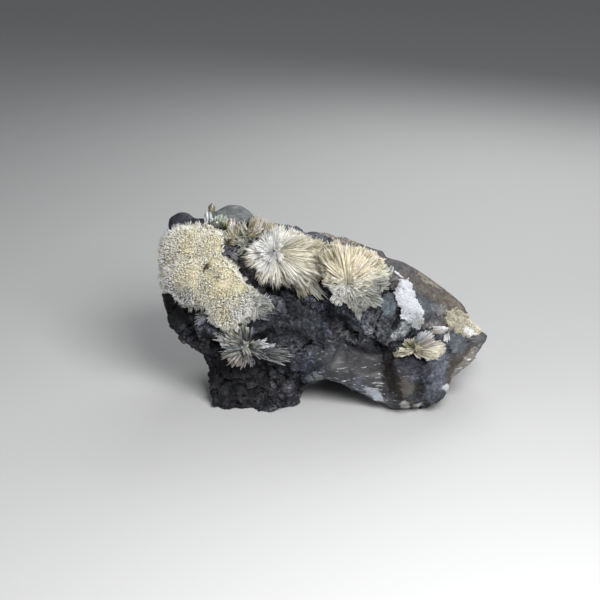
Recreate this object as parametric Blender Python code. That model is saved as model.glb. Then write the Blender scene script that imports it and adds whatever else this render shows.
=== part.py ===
"""Aragonite sprays grown on a loose lump of dark stone.

The stone stands on flat feet. Its front, looked at from FRONT_TILT above the
horizon, carries the crystals, and most places are given as they are seen from
there: across and up. Lengths are in millimetres and become metres when an
object is made. X runs to the right, Y away from the viewer and Z up, with the
origin on the floor under the middle of the whole piece.
"""

import math
import random
from dataclasses import dataclass

import bmesh
import bpy
from mathutils import Euler, Matrix, Vector, noise
from mathutils.bvhtree import BVHTree

MM = 0.001

# How the piece is looked at, and the gaps between its solids
FRONT_TILT = math.radians(22)
FRONT = Vector((0, math.cos(FRONT_TILT), -math.sin(FRONT_TILT)))
FRONT_UP = Vector((0, math.sin(FRONT_TILT), math.cos(FRONT_TILT)))
JOIN_GAP = 0.3                # between crystals and stone
NEIGHBOUR_GAP = 0.5           # between two sprays, on each side of the plane that parts them
FACING = 0.1                  # how far stone must be turned to the viewer to count as the front
FAR = 200                     # in front of everything
ORDER = Vector((1, 0.37, 0.071))  # a slanting direction along which no two corners lie level

# The stone
STONE_SEED = 11
STONE_GRID = 1.0              # cell of the skin that joins the lumps
STONE_RELAX = 3               # rounds of smoothing after each joining
STONE_TRIANGLES = 3400
CORNER_REACH = 1.16           # how far a squared lump's corners may stand out, as a share of its half size
CHIP_NEAR, CHIP_FAR = 0.80, 0.93  # where a chip breaks the lump, as a share of its half size
SWELL_WIDTH, SWELL_HEIGHT = 16, 2.0
JOINT_WIDTH = 0.16            # of the joints between broken blocks, as a share of a block
CALM_LOSS = 0.7               # share of the relief that is missing where the stone is smooth
OUTLINE_PULL = 0.7            # how far relief outside the outline is drawn back to it

# The crystals
GROWN_TOGETHER = 0.4          # how far two bursts of one spray reach into each other
PLANE_NEAREST = 0.3           # nearest that a parting plane comes to a centre, as a share of the distance
LOWEST_BLADE = -0.3           # sine of the angle below which no blade grows towards the stone
SHORTEST_BLADE = 1.12         # shortest tip that is worth a blade, as a share of the core
WAY_NUDGE = 0.22              # how uneven the directions are, as a share of their spacing
CORE_NUDGE = 0.06             # how uneven the core is
TIP_WIDTH = 0.5               # of the chisel edge, as a share of the blade
LONGER = 0.3                  # how far a blade may pass the reach, as a share of the raggedness
SEAT_AREA = 0.7               # radius of the stone that sets a burst's axis, as a share of its reach
CRUST_GRID = 3.2              # longest edge in a crust
GRAINS = (0.6, 1.5)           # lowest and highest grains of a crust, as a share of its grain height
EDGE_GRAIN = 0.4              # the same at its edge


@dataclass(frozen=True)
class Lump:
    """One rounded, chipped body of the stone: middle, half sizes and turn about X, Y and Z."""

    at: tuple
    half: tuple
    turn: tuple = (0, 0, 0)
    chips: int = 7
    square: float = 0.75          # 1 is an ellipsoid, less is nearer a block


@dataclass(frozen=True)
class Block:
    """How the surface is broken into blocks of one size."""

    width: float
    step: float                   # height from one block to the next
    joint: float                  # depth of the joints between them


@dataclass(frozen=True)
class Zone:
    """A patch of the front: its middle and half sizes, across and up."""

    at: tuple
    half: tuple

    def share(self, spot):
        """1 in the middle of the patch, falling to 0 at its edge and outside it."""
        off = math.hypot((spot.x - self.at[0]) / self.half[0], (spot.y - self.at[1]) / self.half[1])
        return max(0.0, min(1.0, 2 * (1 - off)))


@dataclass(frozen=True)
class Crack:
    """A fissure along points of the front."""

    path: tuple
    width: float
    depth: float


@dataclass(frozen=True)
class Crust:
    """Grains that cover the stone along points of the front."""

    path: tuple
    half_width: float
    grain: float                  # how high the grains stand


@dataclass(frozen=True)
class Burst:
    """Blades that radiate from one centre, placed by what is seen from the front."""

    across: float
    up: float
    reach: float                  # from the centre to the longest tips
    blades: int                   # on the whole ball, before the stone cuts it
    core: float = 0.55            # radius of the solid middle, as a share of reach
    crown: float = 1.0            # length of the blades on the axis, as a share of reach
    sink: float = 0.15            # depth of the centre under the stone, as a share of reach
    lift: float = 0.0             # how far the centre stands out towards the viewer
    flat: float = 1.0             # height of the burst, as a share of its width
    ragged: float = 0.18          # how much the lengths differ
    shoulder: float = 0.0         # where a blade starts to narrow, or 0 for a plain wedge
    fan: float = 1.0              # width of a blade at its shoulder, as a share of its foot


@dataclass(frozen=True)
class Seat:
    """Where a burst has grown: its centre, the way it faces, and how far it reaches."""

    centre: Vector
    axis: Vector
    reach: float


# The stone's outline as seen from the front, clockwise from the far left
OUTLINE = (
    (-51, 44), (-51, 51), (-53, 54), (-52, 58), (-48.5, 60), (-45, 59.7), (-42, 56), (-40, 54.5),
    (-37, 59), (-33, 62), (-28, 61.7), (-24.5, 60), (-22, 56.5), (-11.7, 55.3), (5, 52), (16.7, 47.5),
    (20, 47), (27, 42.8), (35, 38), (41.7, 33.2), (46.7, 28.2), (50, 21.7), (55, 18.7), (54.3, 16),
    (46.7, 8.5), (41, 3.5), (39, -2), (34, -6), (30, -12), (24, -12), (19, -5), (11.7, -2.2), (5, 2.5),
    (0.7, 4.3), (-3.5, 3), (-6, 4.3), (-8.3, -1.5), (-14, -12), (-35, -12), (-37.3, -3), (-38.3, 2),
    (-40.7, 12), (-49, 18.7), (-52, 24), (-52.5, 33),
)

LUMPS = {
    "left_shoulder": Lump((-36, 0, 38), (24, 21, 24), (-20, 4, 6), square=0.65),
    "left_foot": Lump((-23.5, 2, 10), (18, 20, 22), (0, 0, -6), square=0.6),
    "middle_block": Lump((-9, -2, 28), (18, 19, 19), (-10, 6, 0), square=0.5),
    "crest": Lump((-8, 8, 47), (26, 15, 15), (0, 9, 0)),
    "right_block": Lump((17, 1, 32), (22, 20, 16), (-14, 24, 0), square=0.6),
    "smoky_wedge": Lump((13, -1, 8), (28, 19, 10), (0, 18, 0), chips=5),
    "right_foot": Lump((27, 0, 4), (14, 18, 12), (0, 8, 10)),
    "right_tip": Lump((41, -1, 15), (20, 13, 15), (0, 20, -10), chips=9),
    "back_ridge": Lump((10, 11, 29), (38, 15, 19), (0, 25, -10), chips=9, square=0.6),
    "brown_slope": Lump((34, 5, 28), (20, 12, 12), (0, 31, -6)),
    "back_left": Lump((-28, 12, 31), (23, 15, 25), (0, 0, 14), chips=9, square=0.65),
    "top_knob": Lump((-29, 9, 56), (9, 9, 10), chips=3, square=0.9),
    "left_knob": Lump((-47, 5, 53), (7, 9, 11), chips=3, square=0.9),
    "ledge_lump": Lump((30, -16, 12), (10, 8, 10), (4, 0, 14), chips=4, square=0.5),
    "ledge_back": Lump((31, -8, 20), (12, 9, 10), (0, 10, 0), chips=4),
    "slate_knob": Lump((20, -14, 35), (7, 6, 7), chips=3, square=0.9),
    "tip_knob": Lump((43, -9, 18), (6, 6, 6), chips=3, square=0.9),
}

BLOCKS = (Block(11, 1.7, 0.9), Block(6, 0.9, 0.5))

CRACKS = (
    Crack(((-29, 44), (-26, 37), (-20, 33), (-9, 34), (-3, 34), (-1, 29), (2, 23), (7, 18.5)), 2.4, 4.5),
    Crack(((7, 18.5), (14, 17), (21, 12.5)), 2.0, 3.5),
    Crack(((-28, 7), (-18, 7), (-8, 6)), 1.6, 2.2),
    Crack(((-52, 29), (-46, 21), (-40, 17), (-31, 14)), 1.8, 2.6),
)

# Where the stone is worn or dissolved smooth: the smoky wedge, the two knobs and the brown slope
CALM = (Zone((9, 5), (24, 9)), Zone((-48, 56), (8, 6)), Zone((-29, 59), (8, 6)), Zone((36, 36), (16, 9)))

SPRAYS = {
    "spray_left": (
        Burst(-45.5, 46.0, 12.0, 72, sink=0.3),
        Burst(-36.5, 46.0, 11.0, 60, sink=0.35),
        Burst(-43.5, 35.5, 12.0, 72, sink=0.3),
        Burst(-33.5, 36.5, 12.0, 72, sink=0.3),
        Burst(-32.0, 28.0, 10.0, 56, sink=0.25),
        Burst(-24.5, 29.0, 9.5, 46, sink=0.25, ragged=0.3),
    ),
    "spray_centre": (
        Burst(-16.5, 45.7, 14.5, 130, core=0.45, crown=0.6),
        Burst(-6.5, 44.5, 11.5, 64, core=0.5, sink=0.25),
        Burst(-9.5, 37.5, 8.5, 36, core=0.5, sink=0.25, ragged=0.3),
    ),
    "spray_right": (
        Burst(8.0, 38.5, 13.5, 110, core=0.45, crown=0.7),
        Burst(16.0, 39.0, 9.5, 52, core=0.5, sink=0.25),
        Burst(11.0, 29.5, 8.0, 36, core=0.5, sink=0.2, ragged=0.3),
    ),
    "spray_crest": (
        Burst(-25.5, 51.5, 9.5, 54, core=0.32, sink=0.1, ragged=0.35),
    ),
    "crystals_top": (
        Burst(-35.5, 55.5, 6.5, 32, core=0.35, sink=0.1, ragged=0.35),
    ),
    "spray_lower": (
        Burst(-27.0, 15.0, 11.0, 30, core=0.3, crown=0.6, sink=0, flat=0.7, shoulder=0.75, fan=1.25),
        Burst(-17.5, 12.0, 9.5, 20, core=0.4, crown=0.6, sink=0, flat=0.6, shoulder=0.75, fan=1.2),
    ),
    "spray_ledge": (
        Burst(28.5, 14.0, 10.5, 30, core=0.3, crown=0.6, lift=2, flat=0.7, shoulder=0.75, fan=1.25),
    ),
}

CRUSTS = {
    "crust_tip": Crust(((42, 26), (46, 24.5), (49, 21.5)), 4.0, 1.3),
    "crust_white": Crust(((24.5, 35), (25.5, 32), (27.5, 28), (28.5, 24)), 3.4, 0.8),
}

# Colour and roughness of each piece
FINISHES = {
    "matrix": ((0.075, 0.077, 0.088), 0.6),
    "spray_left": ((0.72, 0.66, 0.46), 0.35),
    "spray_centre": ((0.78, 0.77, 0.70), 0.35),
    "spray_right": ((0.74, 0.66, 0.44), 0.35),
    "spray_crest": ((0.45, 0.42, 0.32), 0.35),
    "crystals_top": ((0.52, 0.55, 0.48), 0.25),
    "spray_lower": ((0.42, 0.41, 0.37), 0.3),
    "spray_ledge": ((0.66, 0.60, 0.42), 0.35),
    "crust_tip": ((0.55, 0.50, 0.36), 0.4),
    "crust_white": ((0.82, 0.83, 0.86), 0.4),
}


def clear_scene():
    """Remove whatever was open."""
    for thing in list(bpy.data.objects):
        bpy.data.objects.remove(thing, do_unlink=True)


def add_object(name, bm):
    """Make an object, in metres, of a mesh edited in millimetres."""
    mesh = bpy.data.meshes.new(name)
    bmesh.ops.scale(bm, vec=(MM, MM, MM), verts=bm.verts)
    bm.to_mesh(mesh)
    bm.free()
    thing = bpy.data.objects.new(name, mesh)
    bpy.context.scene.collection.objects.link(thing)
    return thing


def take_mesh(thing):
    """The object's mesh after its modifiers, in millimetres; the object itself is removed."""
    graph = bpy.context.evaluated_depsgraph_get()
    mesh = bpy.data.meshes.new_from_object(thing.evaluated_get(graph))
    bm = bmesh.new()
    bm.from_mesh(mesh)
    bmesh.ops.scale(bm, vec=(1 / MM, 1 / MM, 1 / MM), verts=bm.verts)
    bpy.data.meshes.remove(mesh)
    bpy.data.objects.remove(thing, do_unlink=True)
    return bm


def combine(first, second, operation):
    """Join or cut one closed body with another, both of which may cross themselves."""
    body = add_object("body", first)
    other = add_object("other", second)
    joint = body.modifiers.new("joint", "BOOLEAN")
    joint.operation = operation
    joint.use_self = True
    joint.object = other
    bm = take_mesh(body)
    bpy.data.objects.remove(other, do_unlink=True)
    return bm


def keep_largest(bm):
    """Drop every loose piece but the one with the most faces."""
    pieces, met = [], set()
    for start in bm.faces:
        if start in met:
            continue
        met.add(start)
        piece = [start]
        for face in piece:
            near = [other for edge in face.edges for other in edge.link_faces if other not in met]
            near = list(dict.fromkeys(near))
            met.update(near)
            piece.extend(near)
        pieces.append(piece)
    pieces.sort(key=len)
    loose = [face for piece in pieces[:-1] for face in piece]
    bmesh.ops.delete(bm, geom=loose, context="FACES")


def put_in_order(bm):
    """Number corners, edges and faces by where they lie, so that every building gives the same mesh."""
    bm.verts.sort(key=lambda vert: vert.co.dot(ORDER))
    bm.edges.sort(key=lambda edge: (edge.verts[0].co + edge.verts[1].co).dot(ORDER))
    bm.faces.sort(key=lambda face: face.calc_center_median().dot(ORDER))


def inflated(bm, by):
    """A copy of a closed skin, moved outwards."""
    fat = bm.copy()
    fat.normal_update()
    moves = [vert.normal * by * vert.calc_shell_factor() for vert in fat.verts]
    for vert, move in zip(fat.verts, moves):
        vert.co += move
    return fat


def seen(point):
    """Where a point appears from the front: across and up."""
    return Vector((point.x, point.dot(FRONT_UP)))


def nearest_on_path(spot, path):
    """The point of a line of seen points that is nearest to a seen spot."""
    best, nearest = math.inf, None
    for start, end in zip(path, path[1:]):
        a, b = Vector(start), Vector(end)
        share = max(0.0, min(1.0, (spot - a).dot(b - a) / (b - a).length_squared))
        point = a.lerp(b, share)
        if (spot - point).length < best:
            best, nearest = (spot - point).length, point
    return nearest


def inside(spot, ring):
    """Whether a seen spot lies inside a closed ring of seen points."""
    crossings = 0
    for (x0, y0), (x1, y1) in zip(ring, ring[1:] + ring[:1]):
        if (y0 > spot.y) != (y1 > spot.y) and spot.x < x0 + (spot.y - y0) * (x1 - x0) / (y1 - y0):
            crossings += 1
    return crossings % 2 == 1


def press_into_outline(bm, share):
    """Move what stands outside the outline a share of the way back to it, across the line of sight."""
    ring = OUTLINE + OUTLINE[:1]
    for vert in bm.verts:
        spot = seen(vert.co)
        if not inside(spot, OUTLINE):
            shift = (nearest_on_path(spot, ring) - spot) * share
            vert.co += Vector((shift.x, 0, 0)) + FRONT_UP * shift.y


def fill_openings(bm):
    """Close every open loop of edges and turn all faces outwards."""
    open_edges = [edge for edge in bm.edges if edge.is_boundary]
    bmesh.ops.holes_fill(bm, edges=open_edges, sides=0)
    bmesh.ops.recalc_face_normals(bm, faces=bm.faces)


def chipped_lump(lump, dice):
    """A ball pressed towards a block, broken flat by a few random planes, then sized and turned."""
    bm = bmesh.new()
    bmesh.ops.create_icosphere(bm, subdivisions=4, radius=1.0)
    for vert in bm.verts:
        pressed = Vector(math.copysign(abs(c) ** lump.square, c) for c in vert.co)
        vert.co = pressed / max(1.0, pressed.length / CORNER_REACH)
    for _ in range(lump.chips):
        away = Vector((dice.gauss(0, 1), dice.gauss(0, 1), dice.gauss(0, 1))).normalized()
        near = away * dice.uniform(CHIP_NEAR, CHIP_FAR)
        everything = bm.verts[:] + bm.edges[:] + bm.faces[:]
        bmesh.ops.bisect_plane(bm, geom=everything, plane_co=near, plane_no=away, clear_outer=True)
        fill_openings(bm)
    bmesh.ops.scale(bm, vec=lump.half, verts=bm.verts)
    turn = Euler(map(math.radians, lump.turn)).to_matrix()
    bmesh.ops.rotate(bm, matrix=turn, verts=bm.verts)
    bmesh.ops.translate(bm, vec=lump.at, verts=bm.verts)
    return bm


def even_skin(bm):
    """The same body as one closed skin of even cells, a little relaxed."""
    thing = add_object("skin", bm)
    remesh = thing.modifiers.new("join", "REMESH")
    remesh.mode = "VOXEL"
    remesh.voxel_size = STONE_GRID * MM
    relax = thing.modifiers.new("relax", "SMOOTH")
    relax.factor = 0.5
    relax.iterations = STONE_RELAX
    return take_mesh(thing)


def joined_lumps():
    """All the lumps of stone as one closed skin, pressed into the outline."""
    dice = random.Random(STONE_SEED)
    whole = bmesh.new()
    for lump in LUMPS.values():
        part = chipped_lump(lump, dice)
        mesh = bpy.data.meshes.new("lump")
        part.to_mesh(mesh)
        part.free()
        whole.from_mesh(mesh)
        bpy.data.meshes.remove(mesh)
    skin = even_skin(whole)
    press_into_outline(skin, 1.0)
    return even_skin(skin)


def crack_depth(point, normal):
    """How deep the fissures cut at a point of the front."""
    if normal.dot(FRONT) > -FACING:
        return 0.0
    spot = seen(point)
    depth = 0.0
    for crack in CRACKS:
        apart = (spot - nearest_on_path(spot, crack.path)).length
        if apart < crack.width:
            depth = max(depth, crack.depth * (1 - (apart / crack.width) ** 2))
    return depth


def stone_relief(point):
    """Height of the broken surface over the lumps: broad swells, and blocks with joints between them."""
    height = noise.noise(point / SWELL_WIDTH) * SWELL_HEIGHT
    for block in BLOCKS:
        apart, middles = noise.voronoi(point / block.width + Vector((3.1, 7.7, 1.3)))
        height += noise.cell(middles[0] * 7) * block.step
        height -= block.joint * max(0.0, 1 - (apart[1] - apart[0]) / JOINT_WIDTH)
    calm = max(zone.share(seen(point)) for zone in CALM)
    return height * (1 - CALM_LOSS * calm)


def rough_stone():
    """The joined lumps with relief and fissures, in as few triangles as its look needs."""
    bm = joined_lumps()
    bm.normal_update()
    moves = []
    for vert in bm.verts:
        height = stone_relief(vert.co) - crack_depth(vert.co, vert.normal)
        moves.append(vert.normal * height)
    for vert, move in zip(bm.verts, moves):
        vert.co += move
    press_into_outline(bm, OUTLINE_PULL)
    thing = add_object("rough", bm)
    thin = thing.modifiers.new("thin", "DECIMATE")
    thin.ratio = STONE_TRIANGLES / (2 * len(thing.data.polygons))
    thin.use_collapse_triangulate = True
    return take_mesh(thing)


def stand_on_floor(bm):
    """Cut the stone off flat at the floor."""
    everything = bm.verts[:] + bm.edges[:] + bm.faces[:]
    bmesh.ops.bisect_plane(
        bm, geom=everything, dist=1e-4, plane_co=(0, 0, 0), plane_no=(0, 0, 1), clear_inner=True
    )
    fill_openings(bm)
    bmesh.ops.triangulate(bm, faces=bm.faces)
    keep_largest(bm)


def seat(burst, skin):
    """A burst grows where a look from the front meets the stone, and faces as the stone does there."""
    start = Vector((burst.across, 0, 0)) + FRONT_UP * burst.up - FRONT * FAR
    spot = skin.ray_cast(start, FRONT)[0]
    around = [normal for _, normal, _, _ in skin.find_nearest_range(spot, burst.reach * SEAT_AREA)]
    axis = sum(around, Vector()).normalized()
    centre = spot - axis * burst.sink * burst.reach - FRONT * burst.lift
    return Seat(centre, axis, burst.reach)


def room(own, way, others, gap):
    """How far a blade can go before it meets a plane that parts its burst from another."""
    free = math.inf
    for other in others:
        between = other.centre - own.centre
        apart = between.length
        share = 0.5 + (own.reach**2 - other.reach**2) / (2 * apart**2)
        plane = apart * max(PLANE_NEAREST, min(1 - PLANE_NEAREST, share)) - gap
        facing = way.dot(between / apart)
        if facing > 1e-3:
            free = min(free, plane / facing)
    return free


def even_ways(count, dice):
    """Directions spread evenly over a ball, each nudged a little."""
    golden = math.pi * (3 - math.sqrt(5))
    spacing = math.sqrt(4 * math.pi / count)
    for k in range(count):
        z = 1 - 2 * (k + 0.5) / count
        ring = math.sqrt(1 - z * z)
        way = Vector((ring * math.cos(golden * k), ring * math.sin(golden * k), z))
        nudge = Vector((dice.uniform(-1, 1), dice.uniform(-1, 1), dice.uniform(-1, 1)))
        yield (way + nudge * spacing * WAY_NUDGE).normalized()


def draw_out(bm, face, centre, way, to, width):
    """Extrude one face to a distance from the centre, and give its corners back."""
    end = bmesh.ops.extrude_discrete_faces(bm, faces=[face])["faces"][0]
    middle = end.calc_center_median()
    for vert in end.verts:
        vert.co = centre + way * to + (vert.co - middle) * width
    return end


def sharpen(bm, end):
    """Close the end of a blade: four corners to a chisel edge, three to a point."""
    verts = end.verts[:]
    pairs = [verts]
    if len(verts) == 4:
        first_is_short = (verts[0].co - verts[1].co).length < (verts[1].co - verts[2].co).length
        pairs = [verts[0:2], verts[2:4]] if first_is_short else [verts[1:3], [verts[3], verts[0]]]
    for pair in pairs:
        middle = sum((vert.co for vert in pair), Vector()) / len(pair)
        bmesh.ops.pointmerge(bm, verts=pair, merge_co=middle)


def core_ball(burst, own, strangers, dice):
    """The solid middle of a burst, mostly of four-sided faces, kept clear of other sprays."""
    bm = bmesh.new()
    for way in even_ways(burst.blades, dice):
        radius = burst.core * burst.reach * dice.uniform(1 - CORE_NUDGE, 1 + CORE_NUDGE)
        radius *= 1 - (1 - burst.flat) * abs(way.dot(own.axis))
        radius = min(radius, room(own, way, strangers, NEIGHBOUR_GAP))
        bm.verts.new(own.centre + way * radius)
    bmesh.ops.convex_hull(bm, input=bm.verts)
    bmesh.ops.join_triangles(
        bm, faces=bm.faces, angle_face_threshold=math.pi, angle_shape_threshold=math.pi
    )
    bmesh.ops.recalc_face_normals(bm, faces=bm.faces)
    return bm


def grow_burst(burst, own, siblings, strangers, dice):
    """A core whose every outward face is drawn out into a blade."""
    bm = core_ball(burst, own, strangers, dice)
    for face in list(bm.faces):
        foot = face.calc_center_median() - own.centre
        way = foot.normalized()
        rise = way.dot(own.axis)
        if rise < LOWEST_BLADE:
            continue
        share = 1 - (1 - burst.crown) * max(0.0, rise) ** 3
        share *= 1 - (1 - burst.flat) * abs(rise)
        length = burst.reach * share * (1 + dice.uniform(-burst.ragged, burst.ragged * LONGER))
        length = min(length, room(own, way, strangers, NEIGHBOUR_GAP))
        length = min(length, room(own, way, siblings, -GROWN_TOGETHER))
        if length < foot.length * SHORTEST_BLADE:
            continue
        if burst.shoulder:
            shoulder = foot.length + (length - foot.length) * burst.shoulder
            face = draw_out(bm, face, own.centre, way, shoulder, burst.fan)
        sharpen(bm, draw_out(bm, face, own.centre, way, length, TIP_WIDTH))
    bmesh.ops.triangulate(bm, faces=bm.faces)
    bmesh.ops.recalc_face_normals(bm, faces=bm.faces)
    return bm


def grow_spray(name, seats, stone):
    """The bursts of one spray grown together, cut off where they meet the stone."""
    dice = random.Random(name)
    strangers = [other for group, others in seats.items() if group != name for other in others]
    spray = None
    for burst, own in zip(SPRAYS[name], seats[name]):
        siblings = [other for other in seats[name] if other is not own]
        ball = grow_burst(burst, own, siblings, strangers, dice)
        spray = ball if spray is None else combine(spray, ball, "UNION")
    spray = combine(spray, inflated(stone, JOIN_GAP), "DIFFERENCE")
    keep_largest(spray)
    return add_object(name, spray)


def drop_bare(bm, crust, seats, margin):
    """Drop the faces that lie further than a margin outside a crust, or under a burst."""
    bare = []
    for face in bm.faces:
        middle = face.calc_center_median()
        apart = (seen(middle) - nearest_on_path(seen(middle), crust.path)).length
        taken = any((middle - own.centre).length < own.reach + NEIGHBOUR_GAP - margin for own in seats)
        if apart > crust.half_width + margin or taken or face.normal.dot(FRONT) > -FACING:
            bare.append(face)
    bmesh.ops.delete(bm, geom=bare, context="FACES")


def crust_patch(crust, stone, seats):
    """The faces of the stone that a crust covers, made finer round by round."""
    bm = stone.copy()
    for margin in (CRUST_GRID, 0):
        drop_bare(bm, crust, seats, margin)
        long_edges = [edge for edge in bm.edges if edge.calc_length() > CRUST_GRID]
        bmesh.ops.subdivide_edges(bm, edges=long_edges, cuts=1, use_grid_fill=True)
        bmesh.ops.triangulate(bm, faces=bm.faces)
    drop_bare(bm, crust, seats, 0)
    keep_largest(bm)
    drop_pinched(bm)
    return bm


def drop_pinched(bm):
    """Drop faces that hang on the patch by a corner alone."""
    while True:
        pinched = [vert for vert in bm.verts if sum(edge.is_boundary for edge in vert.link_edges) > 2]
        if not pinched:
            return
        bmesh.ops.delete(bm, geom=[pinched[0].link_faces[0]], context="FACES")
        keep_largest(bm)


def grow_crust(name, stone, seats):
    """A thin layer of pointed grains that follows the stone, one closed body."""
    crust = CRUSTS[name]
    dice = random.Random(name)
    bm = crust_patch(crust, stone, seats)
    bm.normal_update()
    bm.verts.index_update()
    rise = [vert.normal.copy() for vert in bm.verts]
    height = [EDGE_GRAIN if vert.is_boundary else dice.uniform(*GRAINS) for vert in bm.verts]
    below = bm.verts.layers.int.new("below")
    for vert in bm.verts:
        vert[below] = vert.index
    shell = bmesh.ops.extrude_face_region(bm, geom=bm.faces[:], use_keep_orig=True)["geom"]
    for item in shell:
        if isinstance(item, bmesh.types.BMVert):
            item.co += rise[item[below]] * (JOIN_GAP + crust.grain * height[item[below]])
    put_in_order(bm)
    bmesh.ops.recalc_face_normals(bm, faces=bm.faces)
    body = combine(bm, inflated(stone, JOIN_GAP), "DIFFERENCE")
    keep_largest(body)
    return add_object(name, body)


def stand_over_origin(things):
    """Shift everything so that the middle of the whole piece stands over the origin."""
    corners = [vert.co for thing in things for vert in thing.data.vertices]
    shift = Vector((0, 0, 0))
    for axis in (0, 1):
        shift[axis] = -(min(co[axis] for co in corners) + max(co[axis] for co in corners)) / 2
    for thing in things:
        thing.data.transform(Matrix.Translation(shift))


def paint(thing):
    """Give an object its own plain material."""
    colour, roughness = FINISHES[thing.name]
    material = bpy.data.materials.new(thing.name)
    material.use_nodes = True
    shader = material.node_tree.nodes["Principled BSDF"]
    shader.inputs["Base Color"].default_value = (*colour, 1)
    shader.inputs["Roughness"].default_value = roughness
    shader.inputs["Metallic"].default_value = 0.0
    thing.data.materials.append(material)


def main():
    """Build the stone, then every spray and crust on it."""
    clear_scene()
    stone = rough_stone()
    stand_on_floor(stone)
    stone.normal_update()
    skin = BVHTree.FromBMesh(stone)
    seats = {name: [seat(burst, skin) for burst in bursts] for name, bursts in SPRAYS.items()}
    every_seat = [own for group in seats.values() for own in group]
    things = [grow_spray(name, seats, stone) for name in SPRAYS]
    things += [grow_crust(name, stone, every_seat) for name in CRUSTS]
    things.append(add_object("matrix", stone))
    stand_over_origin(things)
    for thing in things:
        paint(thing)


main()
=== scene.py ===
"""Aragonite sprays on a loose dark stone, dressed with their needles, grains and finishes.

Shapes are worked out in millimetres and become metres when an object is made. Places on the
front are given as they are seen from there, across and up, as in the part's own source.
"""

import logging
import math
from dataclasses import dataclass, field, replace
from enum import Enum

import bmesh
import bpy
import numpy as np
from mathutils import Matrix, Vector, noise
from mathutils.bvhtree import BVHTree


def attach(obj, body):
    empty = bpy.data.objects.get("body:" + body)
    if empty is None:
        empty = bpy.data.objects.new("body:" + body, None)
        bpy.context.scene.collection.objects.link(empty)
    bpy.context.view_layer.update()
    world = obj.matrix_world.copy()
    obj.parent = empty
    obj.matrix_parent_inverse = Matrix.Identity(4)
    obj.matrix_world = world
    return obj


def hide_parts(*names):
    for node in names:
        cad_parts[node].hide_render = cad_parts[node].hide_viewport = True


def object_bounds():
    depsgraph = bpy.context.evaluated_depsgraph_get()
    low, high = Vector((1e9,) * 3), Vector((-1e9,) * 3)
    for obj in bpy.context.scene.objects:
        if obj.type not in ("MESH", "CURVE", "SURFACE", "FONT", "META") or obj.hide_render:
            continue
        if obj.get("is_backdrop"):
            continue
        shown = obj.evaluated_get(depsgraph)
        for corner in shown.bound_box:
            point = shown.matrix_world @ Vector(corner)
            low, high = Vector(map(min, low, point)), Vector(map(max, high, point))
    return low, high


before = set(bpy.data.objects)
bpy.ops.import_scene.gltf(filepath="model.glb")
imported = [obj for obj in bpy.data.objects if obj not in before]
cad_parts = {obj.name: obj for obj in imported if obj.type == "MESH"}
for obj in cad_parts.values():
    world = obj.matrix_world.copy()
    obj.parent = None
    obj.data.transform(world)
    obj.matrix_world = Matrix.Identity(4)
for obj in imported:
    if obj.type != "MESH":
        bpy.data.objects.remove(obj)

MM = 0.001
LOG = logging.getLogger("aragonite")

Colour = tuple[float, float, float]      # red, green and blue as linear light
Triple = tuple[float, float, float]
Spot = tuple[float, float]               # a place seen from the front, across and up
Range = tuple[float, float]              # a lowest and a highest value

# How the piece is looked at, and where its own origin lies in the row frame
FRONT_TILT = math.radians(22)
FRONT = Vector((0, math.cos(FRONT_TILT), -math.sin(FRONT_TILT)))
FRONT_UP = Vector((0, math.sin(FRONT_TILT), math.cos(FRONT_TILT)))
SHIFT = Vector((-0.3, -1.0, 0))
FAR = 200


def shade(red: float, green: float, blue: float) -> Colour:
    """A colour named by its 0 to 255 display values, as linear light."""
    values = (c / 255 for c in (red, green, blue))
    return tuple(c / 12.92 if c <= 0.04045 else ((c + 0.055) / 1.055) ** 2.4 for c in values)


def seen(points: np.ndarray) -> np.ndarray:
    """Where points in millimetres appear from the front: across and up, one row each."""
    own = points - np.array(SHIFT)
    return np.stack([own[:, 0], own @ np.array(FRONT_UP)], axis=1)


def on_front(across: float, up: float, depth: float = 0.0) -> Vector:
    """The point in millimetres that is seen at a place, at a depth along the line of sight."""
    return SHIFT + Vector((across, 0, 0)) + FRONT_UP * up + FRONT * depth


def wave(values: np.ndarray) -> np.ndarray:
    """A smooth step from 0 to 1."""
    held = np.clip(values, 0, 1)
    return held * held * (3 - 2 * held)


def bend(spot: Vector) -> Vector:
    """A smooth push, different in each direction, that a place always gets."""
    return Vector([noise.noise(spot + Vector((gap, gap, gap))) for gap in (0.0, 17.3, 41.9)])


@dataclass(frozen=True)
class Patch:
    """A soft-edged patch of the front."""

    at: Spot
    half: Spot                    # half its size each way
    turn: float = 0.0             # degrees, anticlockwise as seen
    edge: float = 0.35            # width of the soft edge, as a share of the half size

    def share(self, spots: np.ndarray, rough: np.ndarray | float = 0.0) -> np.ndarray:
        """How much of the patch there is at each seen spot.

        Args:
            spots: seen places, one row each.
            rough: a change of the distance, which makes the edge uneven.

        Returns:
            1 inside, 0 outside, for each spot.
        """
        away = spots - np.array(self.at)
        turn = math.radians(self.turn)
        x = away[:, 0] * math.cos(turn) + away[:, 1] * math.sin(turn)
        y = away[:, 1] * math.cos(turn) - away[:, 0] * math.sin(turn)
        off = np.hypot(x / self.half[0], y / self.half[1]) + rough
        return wave((1 - off) / self.edge + 0.5)


@dataclass(frozen=True)
class Tone:
    """A colour and finish that the stone has on one patch, where it is turned to the front."""

    patch: Patch
    colour: Colour
    gloss: float = 0.0            # 1 is waxy and clear, 0 is dull
    strength: float = 1.0
    streaks: float = 0.0          # share of white streaks, partly white flecks of the stone and partly painted glints


@dataclass(frozen=True)
class Seat:
    """Where a burst has grown, in millimetres."""

    centre: Vector
    axis: Vector
    reach: float


class Cut(Enum):
    """How a crystal ends."""

    POINT = "point"
    CHISEL = "chisel"
    BLUNT = "blunt"


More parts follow.
